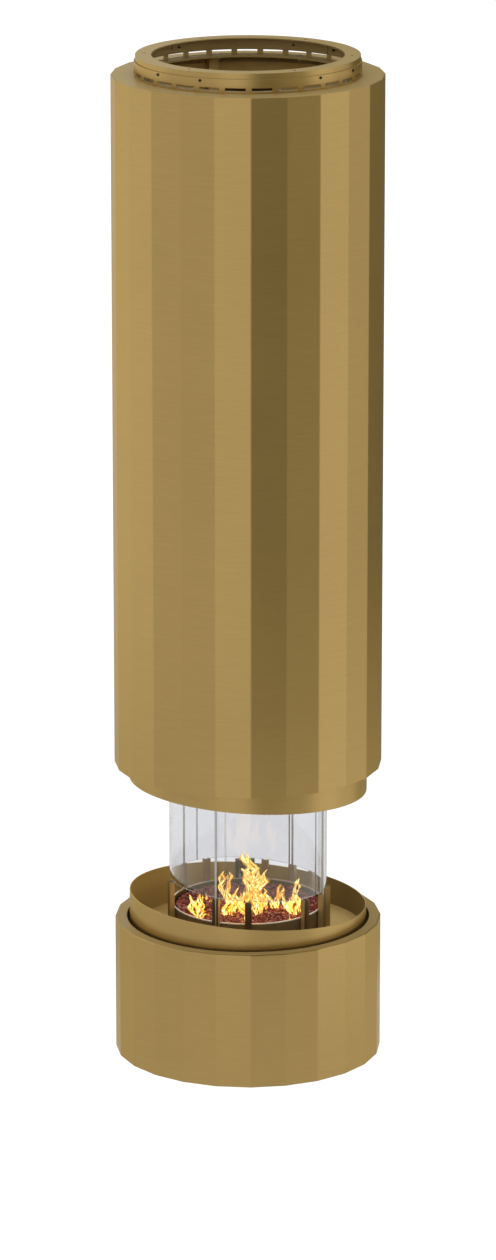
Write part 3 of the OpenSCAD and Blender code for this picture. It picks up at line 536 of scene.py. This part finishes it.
# Each hole in the tray's floor: its circle, its turn in degrees and its radius. They let through
# the four rods, the pilot's pipe and the burner's venturi.
TRAY_HOLES = [(0.212, turn, 0.004) for turn in ROD_TURNS] + [(0.214, 76, 0.005), (0, 0, 0.014)]


def cut_hole(made, x, y, radius, low, high, sides=48):
    """Cuts a round upright hole through a sheet, with a cutter that is then thrown away."""
    deselect()
    bpy.ops.mesh.primitive_cylinder_add(vertices=sides, radius=radius, depth=high - low + 2 * CUT_PAST,
                                        location=(x, y, (low + high) / 2))
    cutter = bpy.context.object
    shape_with(made, "BOOLEAN", object=cutter, operation="DIFFERENCE", solver="EXACT")
    bpy.data.objects.remove(cutter)


tray = tube(ROUND, TRAY_RADIUS, TRAY_UNDER, TRAY_RIM + SPARE, cap="NGON")
slant_cut(TRAY_RIM, TRAY_SLANT, keep_above=False)
pick(tray, "EDGE", lambda middle, edge: middle.z < TRAY_UNDER + NEAR)
bpy.ops.mesh.bevel(offset=TRAY_BEND, segments=4, affect="EDGES")
bpy.ops.object.mode_set(mode="OBJECT")
shape_with(tray, "SOLIDIFY", thickness=TRAY_WALL, offset=-1)
round_edges(tray, TRAY_LIP, 3)
for reach, turn, radius in TRAY_HOLES:
    cut_hole(tray, reach * math.cos(math.radians(turn)), reach * math.sin(math.radians(turn)), radius,
             TRAY_UNDER, TRAY_UNDER)
smooth(tray)
# Painted light and shade: the tray's floor is painted much lighter than its inner walls, and the walls at
# both sides of the fire get a darker painted shade.
tray_brass = brass_finish("satin_brass_lacquer_tray", 0.0, (0.64, 0.445, 0.145), (0.92, 0.66, 0.26),
                          soot_and_painted_shade=(0.22, 0.150, 0.050))
hand_over(tray, "hearth_tray_rolled", tray_brass, "brass_gold", "root", "hearth_tray")

# Burner: a ring burner of stainless steel under a perforated plate, fed from below by a venturi
# with an air shutter. A rolled rim is set on the pan round them, in a pale, near-white tone that is a painted
# highlight.

dress(stainless, "bed_grate", "burner_ring", "venturi_tube", "air_shutter")
finish = Finish("painted_highlight_rim", Metallic=0.35)
# Painted highlight: the rim's pale cream colour stands for the bright line of light along it.
painted_highlight_mottle = finish.noise(120, detail=2)
finish.set("Base_Color", finish.blend(painted_highlight_mottle, (0.82, 0.75, 0.66), (0.94, 0.89, 0.80)))
finish.set("Roughness", 0.20 + painted_highlight_mottle * 0.1)
finish.relief(finish.noise(900), 0.00003, strength=0.3, edge=0.0008)
dress(finish.material, "pan_rim")

# Lava bed: crushed red-brown lava chips of 5 to 12 mm, heaped loosely on the burner's plate up to
# just under the pan's rim. Each chip is a small broken lump with its own tone.

BED_RADIUS, BED_TOP = 0.1955, -2.2655
BED_CROWN, BED_FALL = 0.0035, 0.004
BED_UNDER = BED_TOP - 0.022
BED_CELLS, BED_SPARE, BED_LIFT = 56, 0.004, 0.02
# The bed under the chips: how far below them it lies, how rough it is, and its dark tone, which is painted
# shade in the gaps between the chips.
BED_SINK, BED_ROUGH, BED_SHADE_TONE = 0.003, 0.0015, 0.12
CHIP_COUNT, CHIP_KINDS = 2900, 6
# Each chip is a dented ball of radius 1, flattened in width and height, then brought to its size.
CHIP_DENT, CHIP_WIDTHS, CHIP_HEIGHTS = 0.34, (0.65, 0.9), (0.5, 0.75)
CHIP_SIZES = (0.0034, 0.0040, 0.0047, 0.0054, 0.0064)
# How far chips keep from the bed's edge, stray along their spiral in radians, and lie high or low.
CHIP_MARGIN, CHIP_STRAY, CHIP_RISES = 0.004, 0.02, (-0.0015, 0.0025)
FULL_TURN = 6.28
chip_random = random.Random(11)

finish = Finish("lava_chips", Specular_IOR_Level=0.45)
pore = finish.noise(700, detail=3, roughness=0.7)
grit = finish.mark("tone") * 0.86 + pore * 0.14
finish.set("Base_Color", finish.ramp(grit, (0.0, (0.045, 0.008, 0.006)), (0.30, (0.250, 0.038, 0.028)),
                                     (0.60, (0.460, 0.090, 0.064)), (0.82, (0.580, 0.190, 0.145)),
                                     (0.95, (0.740, 0.470, 0.400))))
finish.set("Roughness", 0.42 + pore * 0.3)
finish.relief(pore, 0.0004, strength=0.6)
lava = finish.material


def bed_height(x, y):
    reach = math.hypot(x, y) / BED_RADIUS
    return BED_TOP + BED_CROWN * math.cos(reach * math.pi / 2) - BED_FALL * reach ** 6


def lay_out(name, points, faces):
    """Makes an object from worked-out points and faces."""
    mesh = bpy.data.meshes.new(name)
    mesh.from_pydata(points, [], faces)
    made = bpy.data.objects.new(name, mesh)
    bpy.context.scene.collection.objects.link(made)
    return made


def write_marks(made, name, domain, numbers):
    """Writes a number on each point or face, for a finish to read."""
    made.data.attributes.new(name, "FLOAT", domain).data.foreach_set("value", numbers)


def join(made, other):
    activate(made)
    other.select_set(True)
    bpy.ops.object.join()


deselect()
bpy.ops.mesh.primitive_grid_add(x_subdivisions=BED_CELLS, y_subdivisions=BED_CELLS,
                                size=2 * BED_RADIUS + BED_SPARE)
bed = bpy.context.object
bpy.ops.object.mode_set(mode="EDIT")
pick(bed, "FACE", lambda middle, face: any(vertex.co.length > BED_RADIUS for vertex in face.verts))
bpy.ops.mesh.delete(type="FACE")
bpy.ops.mesh.select_all(action="SELECT")
bpy.ops.mesh.extrude_region_move(TRANSFORM_OT_translate={"value": (0, 0, BED_LIFT)})
bpy.ops.object.mode_set(mode="OBJECT")
for vertex in bed.data.vertices:
    if vertex.co.z > BED_LIFT / 2:
        rough = chip_random.uniform(-BED_ROUGH, BED_ROUGH)
        vertex.co.z = bed_height(vertex.co.x, vertex.co.y) - BED_SINK + rough
    else:
        vertex.co.z = BED_UNDER
# Painted shade: the bed carries one dark tone where it shows between the chips.
write_marks(bed, "tone", "POINT", [BED_SHADE_TONE] * len(bed.data.vertices))

chips = []
for kind in range(CHIP_KINDS):
    deselect()
    bpy.ops.mesh.primitive_ico_sphere_add(subdivisions=1, radius=1.0)
    chip = bpy.context.object
    bpy.ops.object.mode_set(mode="EDIT")
    bpy.ops.mesh.select_all(action="SELECT")
    bpy.ops.transform.vertex_random(offset=CHIP_DENT, seed=kind + 3)
    width, height = chip_random.uniform(*CHIP_WIDTHS), chip_random.uniform(*CHIP_HEIGHTS)
    bpy.ops.transform.resize(value=(1.0, width, height))
    bpy.ops.object.mode_set(mode="OBJECT")
    chips.append((np.array([vertex.co for vertex in chip.data.vertices]),
                  np.array([face.vertices for face in chip.data.polygons])))
    bpy.data.objects.remove(chip)

points, faces, tones = [], [], []
count = 0
for index in range(CHIP_COUNT):
    reach = (BED_RADIUS - CHIP_MARGIN) * math.sqrt((index + 0.5) / CHIP_COUNT)
    turn = index * math.pi * (3 - math.sqrt(5)) + chip_random.uniform(-CHIP_STRAY, CHIP_STRAY)
    x, y = reach * math.cos(turn), reach * math.sin(turn)
    size = chip_random.choice(CHIP_SIZES)
    rise = bed_height(x, y) + chip_random.uniform(*CHIP_RISES)
    if reach + size > BED_RADIUS:
        continue
    turning = Matrix.Rotation(chip_random.uniform(0, FULL_TURN), 3, "Z")
    turning = turning @ Matrix.Rotation(chip_random.uniform(0, FULL_TURN), 3, "X")
    shape, sides = chips[chip_random.randrange(CHIP_KINDS)]
    points.append(shape * size @ np.array(turning).T + (x, y, rise))
    faces.append(sides + count)
    count += len(shape)
    tones += [chip_random.random()] * len(shape)
pile = lay_out("lava_chips", np.concatenate(points).tolist(), np.concatenate(faces).tolist())
write_marks(pile, "tone", "POINT", tones)
join(pile, bed)
hand_over(pile, "lava_chips", lava, "lava_stone", "root", "lava_bed")

# Flames: gas flames that rise from between the chips, yellow-white inside and orange outside, in
# three nested skins. Each is five strands, drawn up from small rings along its bent line to a tip.

FLAME_CORNERS, STEPS_BETWEEN, FEWEST_RINGS = 8, 3, 4
MM_IN_METRE = 1000
flame_random = random.Random(5)

# How wide a strand is beside its flame, how much that varies, and how thin it gets.
STRAND_WIDTH, STRAND_RANGE, THINNEST = 0.54, (0.55, 1.35), 0.0007
# How far it leans and curls beside the flame's width, and how fast it curls, in radians a metre.
LEAN, CURL, CURL_DEPTH, CURL_RATE = 0.34, 0.27, 0.32, 130
# How it narrows: its share of the width at the foot and the height where it is full, then its
# share at the tip and the rings that it takes to get there.
FOOT_SHARE, FOOT_RISE, TIP_SHARE, TIP_RINGS = 0.30, 0.040, 0.06, 3.5
ROOT_DEPTH = 0.004
# Each strand: its share of the flame's height, and which way and how much it leans.
STRANDS = ((1.0, 0.0), (0.9, -0.8), (0.78, 0.9), (0.6, -1.3), (0.5, 1.3))

# Each flame: where it stands, in mm to the right of the axis and away from the photographed side,
# and its line from the chips to the tip, as (mm to the right, mm up, mm wide).
FLAMES = (
    (-126, -123, ((0, 0, 14), (-6, 18, 20), (-10, 36, 26), (-14, 49, 23), (-22, 62, 13), (-28, 70, 4))),
    (-129, -77, ((0, 0, 14), (3, 27, 17), (3, 42, 12), (5, 53, 9), (5, 59, 2))),
    (-123, -123, ((0, 0, 9), (6, 13, 9), (15, 18, 7), (22, 12, 4), (27, 11, 1))),
    (-91, -114, ((0, 0, 6), (2, 9, 7), (2, 17, 5), (5, 21, 1))),
    (-111, 23, ((0, 0, 5), (0, 9, 7), (2, 18, 6), (-1, 25, 1))),
    (-100, 0, ((0, 0, 6), (6, 12, 7), (20, 16, 6), (33, 15, 2))),
    (-54, 23, ((0, 0, 10), (-9, 24, 10), (-16, 36, 10), (-17, 47, 12), (-12, 62, 18), (-10, 74, 19),
               (-9, 83, 10), (-4, 89, 2))),
    (-54, 96, ((0, 0, 6), (4, 33, 10), (9, 47, 10), (6, 58, 6), (9, 64, 1))),
    (-54, -105, ((0, 0, 14), (4, 18, 23), (7, 36, 29), (4, 53, 24), (3, 68, 18), (0, 80, 9), (3, 85, 2))),
    (-31, -87, ((0, 0, 14), (3, 18, 24), (4, 36, 25), (3, 53, 19), (4, 68, 12), (7, 77, 2))),
    (-54, -96, ((0, 0, 7), (9, 13, 9), (18, 24, 6), (13, 29, 2))),
    (-2, -160, ((0, 0, 6), (-1, 18, 13), (-3, 39, 21), (-7, 56, 25), (-7, 71, 21), (-1, 86, 16), (4, 101, 13),
                (7, 116, 14), (6, 131, 18), (-1, 145, 19), (-12, 153, 10), (-14, 147, 2))),
    (15, -50, ((0, 0, 17), (-3, 21, 20), (-3, 42, 26), (0, 62, 29), (-1, 83, 32), (-6, 101, 32),
               (-9, 119, 32), (-9, 134, 35), (-14, 145, 30), (-25, 157, 14), (-29, 164, 2))),
    (38, -68, ((0, 0, 12), (0, 18, 14), (-3, 39, 17), (-9, 59, 26), (-9, 77, 32), (-3, 92, 27), (3, 104, 18),
               (10, 113, 9), (13, 120, 2))),
    (33, -14, ((0, 0, 9), (-7, 36, 15), (-12, 59, 21), (-10, 80, 23), (-3, 95, 12), (-6, 101, 2))),
    (24, -105, ((0, 0, 7), (-1, 18, 11), (-5, 36, 13), (-9, 50, 9), (-7, 59, 2))),
    (53, -41, ((0, 0, 17), (1, 18, 21), (-3, 33, 18), (-9, 44, 9), (-7, 51, 2))),
    (69, -55, ((0, 0, 17), (-1, 16, 15), (-6, 31, 12), (-9, 41, 2))),
    (73, -50, ((0, 0, 7), (3, 21, 12), (6, 36, 15), (9, 50, 18), (12, 62, 14), (14, 71, 5), (12, 76, 1))),
    (105, -59, ((0, 0, 12), (-6, 18, 13), (-9, 33, 11), (-14, 47, 12), (-19, 60, 3))),
    (119, -96, ((0, 0, 12), (1, 18, 24), (0, 33, 27), (1, 47, 24), (6, 62, 14), (7, 74, 11), (6, 86, 18),
                (6, 95, 20), (11, 104, 10), (16, 109, 2))),
    (138, -68, ((0, 0, 9), (1, 21, 14), (-1, 36, 10), (-2, 45, 2))),
    (113, -41, ((0, 0, 6), (-1, 27, 9), (1, 36, 2))),
    (157, -107, ((0, 0, 3), (2, 12, 6), (-1, 24, 4), (-3, 31, 1))),
    (108, -146, ((0, 0, 3), (2, 13, 5), (0, 23, 1))),
    (-14, -105, ((0, 0, 6), (-2, 14, 7), (-8, 23, 6), (-14, 25, 1))),
    (35, -96, ((0, 0, 5), (-3, 17, 8), (-7, 28, 4), (-6, 34, 1))),
)
# A surface that gives light and reflects none.
LIGHT_ONLY = {"Base_Color": (0, 0, 0), "Roughness": 1.0, "Specular_IOR_Level": 0.0}

# Each skin: how slim it is beside the outer one, its two colours, how bright and how dense it is.
SKINS = (
    ("flame_rims", 1.0, (0.85, 0.19, 0.008), (1.0, 0.50, 0.045), 1.3, 0.46),
    ("flame_bodies", 0.62, (1.0, 0.42, 0.018), (1.0, 0.73, 0.075), 1.8, 0.70),
    ("flame_cores", 0.42, (1.0, 0.74, 0.12), (1.0, 0.94, 0.56), 2.9, 1.0),
)


def bent_line(line):
    """A smooth line through the points, as rows of right, up and width in metres."""
    knots = np.array([line[0], *line, line[-1]], dtype=float) / MM_IN_METRE
    rows = []
    for before, start, stop, after in zip(knots, knots[1:], knots[2:], knots[3:]):
        for step in range(STEPS_BETWEEN):
            share = step / STEPS_BETWEEN
            square = 2 * before - 5 * start + 4 * stop - after
            cube = 3 * start - before - 3 * stop + after
            rows.append(0.5 * (2 * start + (stop - before) * share + square * share ** 2 + cube * share ** 3))
    return rows + [knots[-1]]


def draw_strand(right, away, line, length, lean):
    """Draws one strand of a flame up to a share of its length; gives its points, its faces, and
    the middle of the ring of each point."""
    foot = VIEW_RIGHT * (right / MM_IN_METRE) + VIEW_AWAY * (away / MM_IN_METRE)
    foot.z = bed_height(foot.x, foot.y) - ROOT_DEPTH
    rows = bent_line(line)
    rows = rows[:max(FEWEST_RINGS, round(len(rows) * length))]
    phase = flame_random.uniform(0, FULL_TURN)
    middles, widths = [], []
    for index, (across, up, wide) in enumerate(rows):
        turn = phase + up * CURL_RATE
        side = wide * (LEAN * lean + CURL * math.sin(turn))
        middles.append(foot + VIEW_RIGHT * (across + side) + Vector((0, 0, up))
                       + VIEW_AWAY * (wide * CURL_DEPTH * math.cos(turn)))
        tip = min(1.0, (len(rows) - 1 - index) / TIP_RINGS + TIP_SHARE) if length < 1 else 1.0
        root = min(1.0, FOOT_SHARE + up / FOOT_RISE)
        widths.append(max(THINNEST, wide * STRAND_WIDTH * tip * root * flame_random.uniform(*STRAND_RANGE)))
    deselect()
    bpy.ops.mesh.primitive_circle_add(vertices=FLAME_CORNERS, radius=widths[0] / 2, fill_type="NGON",
                                      location=middles[0])
    bpy.ops.object.transform_apply(location=True)
    made = bpy.context.object
    bpy.ops.object.mode_set(mode="EDIT")
    bpy.ops.mesh.select_all(action="SELECT")
    for index in range(1, len(rows)):
        step = middles[index] - middles[index - 1]
        bpy.ops.mesh.extrude_region_move(TRANSFORM_OT_translate={"value": step})
        grow = widths[index] / widths[index - 1]
        bpy.ops.transform.resize(value=(grow, grow, 1), center_override=middles[index])
    bpy.ops.object.mode_set(mode="OBJECT")
    shape = np.array([vertex.co for vertex in made.data.vertices])
    sides = [list(face.vertices) for face in made.data.polygons]
    bpy.data.objects.remove(made)
    centres = np.array(middles)
    nearest = np.array([np.argmin(((centres - point) ** 2).sum(axis=1)) for point in shape])
    return shape, sides, centres[nearest]


drawn = [draw_strand(*flame, length, lean) for flame in FLAMES for length, lean in STRANDS]
for name, slim, dull, bright, power, cover in SKINS:
    finish = Finish(name, **LIGHT_ONLY, Emission_Strength=power)
    lick = finish.noise(130, stretch=(1.0, 1.0, 0.5), detail=3, roughness=0.6)
    glow = finish.noise(48, stretch=(1.0, 1.0, 0.6), detail=2)
    finish.set("Emission_Color", finish.blend(finish.spread(glow, 0.38, 0.62), dull, bright))
    finish.set("Alpha", finish.spread(lick, 0.44, 0.56, cover * 0.05, cover))
    points, faces = [], []
    for shape, sides, centres in drawn:
        faces += [[corner + len(points) for corner in side] for side in sides]
        points += (centres + (shape - centres) * slim).tolist()
    flame = lay_out(name, points, faces)
    flame.data.materials.append(finish.material)
    smooth(flame, 180)
    flame.visible_shadow = False
    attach(flame, "root")

# Pilot: a small stainless burner and a spark electrode of glazed ceramic behind the fire, in the
# bronze shield, fed by a thin aluminium pipe.

dress(stainless, "pilot_burner")
finish = Finish("glazed_ceramic", Coat_Weight=0.4, Roughness=0.32)
finish.set("Base_Color", finish.blend(finish.noise(500), (0.74, 0.71, 0.66), (0.82, 0.80, 0.76)))
finish.relief(finish.noise(1800), 0.00003, strength=0.3)
dress(finish.material, "ignition_electrode")

finish = Finish("cast_alloy", Metallic=0.9)
pitted = finish.noise(900, detail=4)
finish.set("Base_Color", finish.blend(pitted, (0.38, 0.38, 0.39), (0.52, 0.52, 0.53)))
finish.set("Roughness", 0.42 + pitted * 0.2)
finish.relief(pitted, 0.00012, strength=0.5, edge=0.0012)
cast_alloy = finish.material
dress(cast_alloy, "pilot_pipe")

# Pot: a low folded drum of the same lacquered sheet, with a round hole in its top for the tray and
# a ledge inside its lower edge for the floor. A zinc plated frame inside carries it on the rods.

POT_TOP, POT_BOTTOM = -2.293, -2.654
POT_HOLE = 0.3195
LEDGE_LOW, LEDGE_HIGH = -2.645, -2.6425
LEDGE_OUTSIDE, LEDGE_INSIDE = CASING_CORNER - 0.0025, 0.322

pot = tube(SIDES, CASING_CORNER, POT_BOTTOM, POT_TOP, cap="NGON")
pick(pot, "FACE", lambda middle, face: middle.z < POT_BOTTOM + NEAR)
bpy.ops.mesh.delete(type="FACE")
pick(pot, "EDGE", lambda middle, edge: middle.z > POT_BOTTOM + NEAR)
bpy.ops.mesh.bevel(offset=FOLD, segments=2, affect="EDGES")
bpy.ops.object.mode_set(mode="OBJECT")
shape_with(pot, "SOLIDIFY", thickness=SHEET, offset=-1, use_even_offset=True)
cut_hole(pot, 0, 0, POT_HOLE, POT_TOP, POT_TOP, ROUND)
round_edges(pot, SHEET_EDGE)
ledge = tube(SIDES, LEDGE_OUTSIDE, LEDGE_LOW, LEDGE_HIGH, cap="NGON")
bpy.ops.object.mode_set(mode="OBJECT")
cut_hole(ledge, 0, 0, LEDGE_INSIDE, LEDGE_LOW, LEDGE_HIGH, ROUND)
join(pot, ledge)
hand_over(pot, "pot_shell_folded", brass, "brass_gold", "root", "pot_shell")
dress(zinc, "pot_frame")

# Floor of the pot: a lacquered plate screwed under the ledge, with air slots, a round hole for
# the gas hose and a hatch on a stainless piano hinge, held shut by two magnets.

dress(edged_brass, "base_plate", "service_hatch")
dress(stainless, "hatch_hinge")
dress(black_oxide, "base_screws")

finish = Finish("black_moulding")
grain = finish.noise(1400, detail=3)
finish.set("Base_Color", finish.blend(grain, (0.012, 0.012, 0.013), (0.026, 0.026, 0.028)))
finish.set("Roughness", 0.46 + grain * 0.15)
finish.relief(grain, 0.00008, strength=0.5, edge=0.001)
black_moulding = finish.material
dress(black_moulding, "hatch_catches")

# Gas gear: brass fittings and a ball valve with a red lever, a cast control valve with a moulded
# knob and box, stainless pipes, zinc plated brackets, and the burner's jet.

dress(black_moulding, "valve_knob", "control_box")
dress(cast_alloy, "gas_valve")
dress(stainless, "gas_pipes")
dress(zinc, "inlet_bracket", "valve_bracket")

finish = Finish("turned_brass", Metallic=1.0)
turned = finish.noise(1.0, stretch=(40, 40, 1500), detail=2)
finish.set("Base_Color", finish.blend(turned, (0.52, 0.36, 0.12), (0.66, 0.48, 0.20)))
finish.set("Roughness", 0.22 + turned * 0.15)
finish.relief(turned, 0.00005, strength=0.4, edge=0.0006)
dress(finish.material, "gas_jet", "gas_inlet", "shutoff_valve")

finish = Finish("red_dipped_lever", Coat_Weight=0.5, Coat_Roughness=0.1)
dip = finish.noise(60, detail=2)
finish.set("Base_Color", finish.blend(dip, (0.38, 0.020, 0.012), (0.48, 0.030, 0.018)))
finish.set("Roughness", 0.30 + dip * 0.1)
finish.relief(dip, 0.0002, strength=0.4, edge=0.001)
dress(finish.material, "shutoff_lever")

# Studio: a white room, a pale floor under the hanging pot, and a light tent of twelve upright
# panels that only reflections see. Each panel has its own grey, and a dark one is warmer too, so
# that the flats of the casing show their folds.

WHITE = (1.0, 1.0, 1.0)
WARM_GREY = (1.02, 0.99, 0.66)
FLOOR, FLOOR_RADIUS, FLOOR_GLOW = -3.45, 60, 0.28
TENT_RADIUS, TENT_TOP, TENT_FOOT = 3.2, 1.6, FLOOR + 0.01
TENT_HIGH_END, TENT_LOW_START = -2.1, -3.2
AZIMUTH = math.radians(-16.2)
FIRST_PANEL = -162.6

# Panels from the left rear round by the camera to the right rear, every 30 degrees: the grey that
# the casing sees, then the grey that the pot sees lower down.
PANELS = ((0.82, 0.60), (1.02, 0.74), (1.06, 0.78), (0.80, 0.75), (0.75, 0.80), (1.02, 0.90),
          (0.24, 0.72), (0.42, 0.80), (1.12, 1.20), (0.79, 1.04), (0.17, 0.74), (0.20, 0.45))
TO_CAMERA = Vector((math.sin(AZIMUTH), -math.cos(AZIMUTH), 0.0))

world = bpy.data.worlds.new("white_room")
bpy.context.scene.world = world
world.use_nodes = True
world.node_tree.nodes["Background"].inputs["Color"].default_value = (*WHITE, 1.0)
world.node_tree.nodes["Background"].inputs["Strength"].default_value = 1.0

tent = tube(len(PANELS), TENT_RADIUS, TENT_FOOT, TENT_TOP)
bpy.ops.object.mode_set(mode="OBJECT")
tent.rotation_euler.z = -AZIMUTH
bpy.ops.object.transform_apply(rotation=True)
greys = []
for face in tent.data.polygons:
    turn = math.degrees(math.atan2(face.center.x, -face.center.y) - AZIMUTH)
    greys.append(PANELS[round((turn - FIRST_PANEL) * len(PANELS) / 360) % len(PANELS)])
for column, name in enumerate(("high_grey", "low_grey")):
    write_marks(tent, name, "FACE", [pair[column] for pair in greys])
tent.name = tent.data.name = "light_tent"
finish = Finish("tent_cloth", **LIGHT_ONLY)
grey = finish.spread(finish.height(finish.place), TENT_LOW_START, TENT_HIGH_END,
                     finish.mark("low_grey"), finish.mark("high_grey"))
finish.set("Emission_Color", finish.blend(finish.spread(grey, 0.2, 0.8), WARM_GREY, WHITE))
finish.set("Emission_Strength", grey)
tent.data.materials.append(finish.material)
tent.visible_camera = False
tent.visible_transmission = False
tent.visible_diffuse = False
tent.visible_shadow = False

deselect()
bpy.ops.mesh.primitive_circle_add(vertices=96, radius=FLOOR_RADIUS, fill_type="NGON", location=(0, 0, FLOOR))
bpy.ops.object.transform_apply(location=True)
floor = bpy.context.object
floor.name = floor.data.name = "pale_floor"
finish = Finish("pale_floor", Roughness=0.6, Specular_IOR_Level=0.0, Emission_Color=WHITE)
mottle = finish.noise(0.8, detail=3)
finish.set("Base_Color", finish.blend(mottle, (0.80, 0.80, 0.80), (0.84, 0.84, 0.84)))
rays = finish.node("ShaderNodeLightPath", {}, {}, "Is Camera Ray")
seen = rays.sum("MAXIMUM", rays, finish.node("ShaderNodeLightPath", {}, {}, "Is Transmission Ray"))
finish.set("Emission_Strength", seen * FLOOR_GLOW)
floor.data.materials.append(finish.material)

# Camera: a long lens, far off on the photographed side. It stands above the ceiling ring and is
# tilted down, so that the round rims look as flat as in the photograph.

DISTANCE, RISE, TILT, LENS = 15.0, 2.593, 15.32, 170.53

camera_data = bpy.data.cameras.new("camera")
camera = bpy.data.objects.new("camera", camera_data)
bpy.context.scene.collection.objects.link(camera)
camera.location = TO_CAMERA * DISTANCE + Vector((0, 0, RISE))
camera.rotation_euler = (math.radians(90 - TILT), 0, AZIMUTH)
camera_data.lens = LENS
camera_data.sensor_width = 36
camera_data.clip_end = 200
bpy.context.scene.camera = camera
bpy.context.scene.view_settings.view_transform = "Standard"
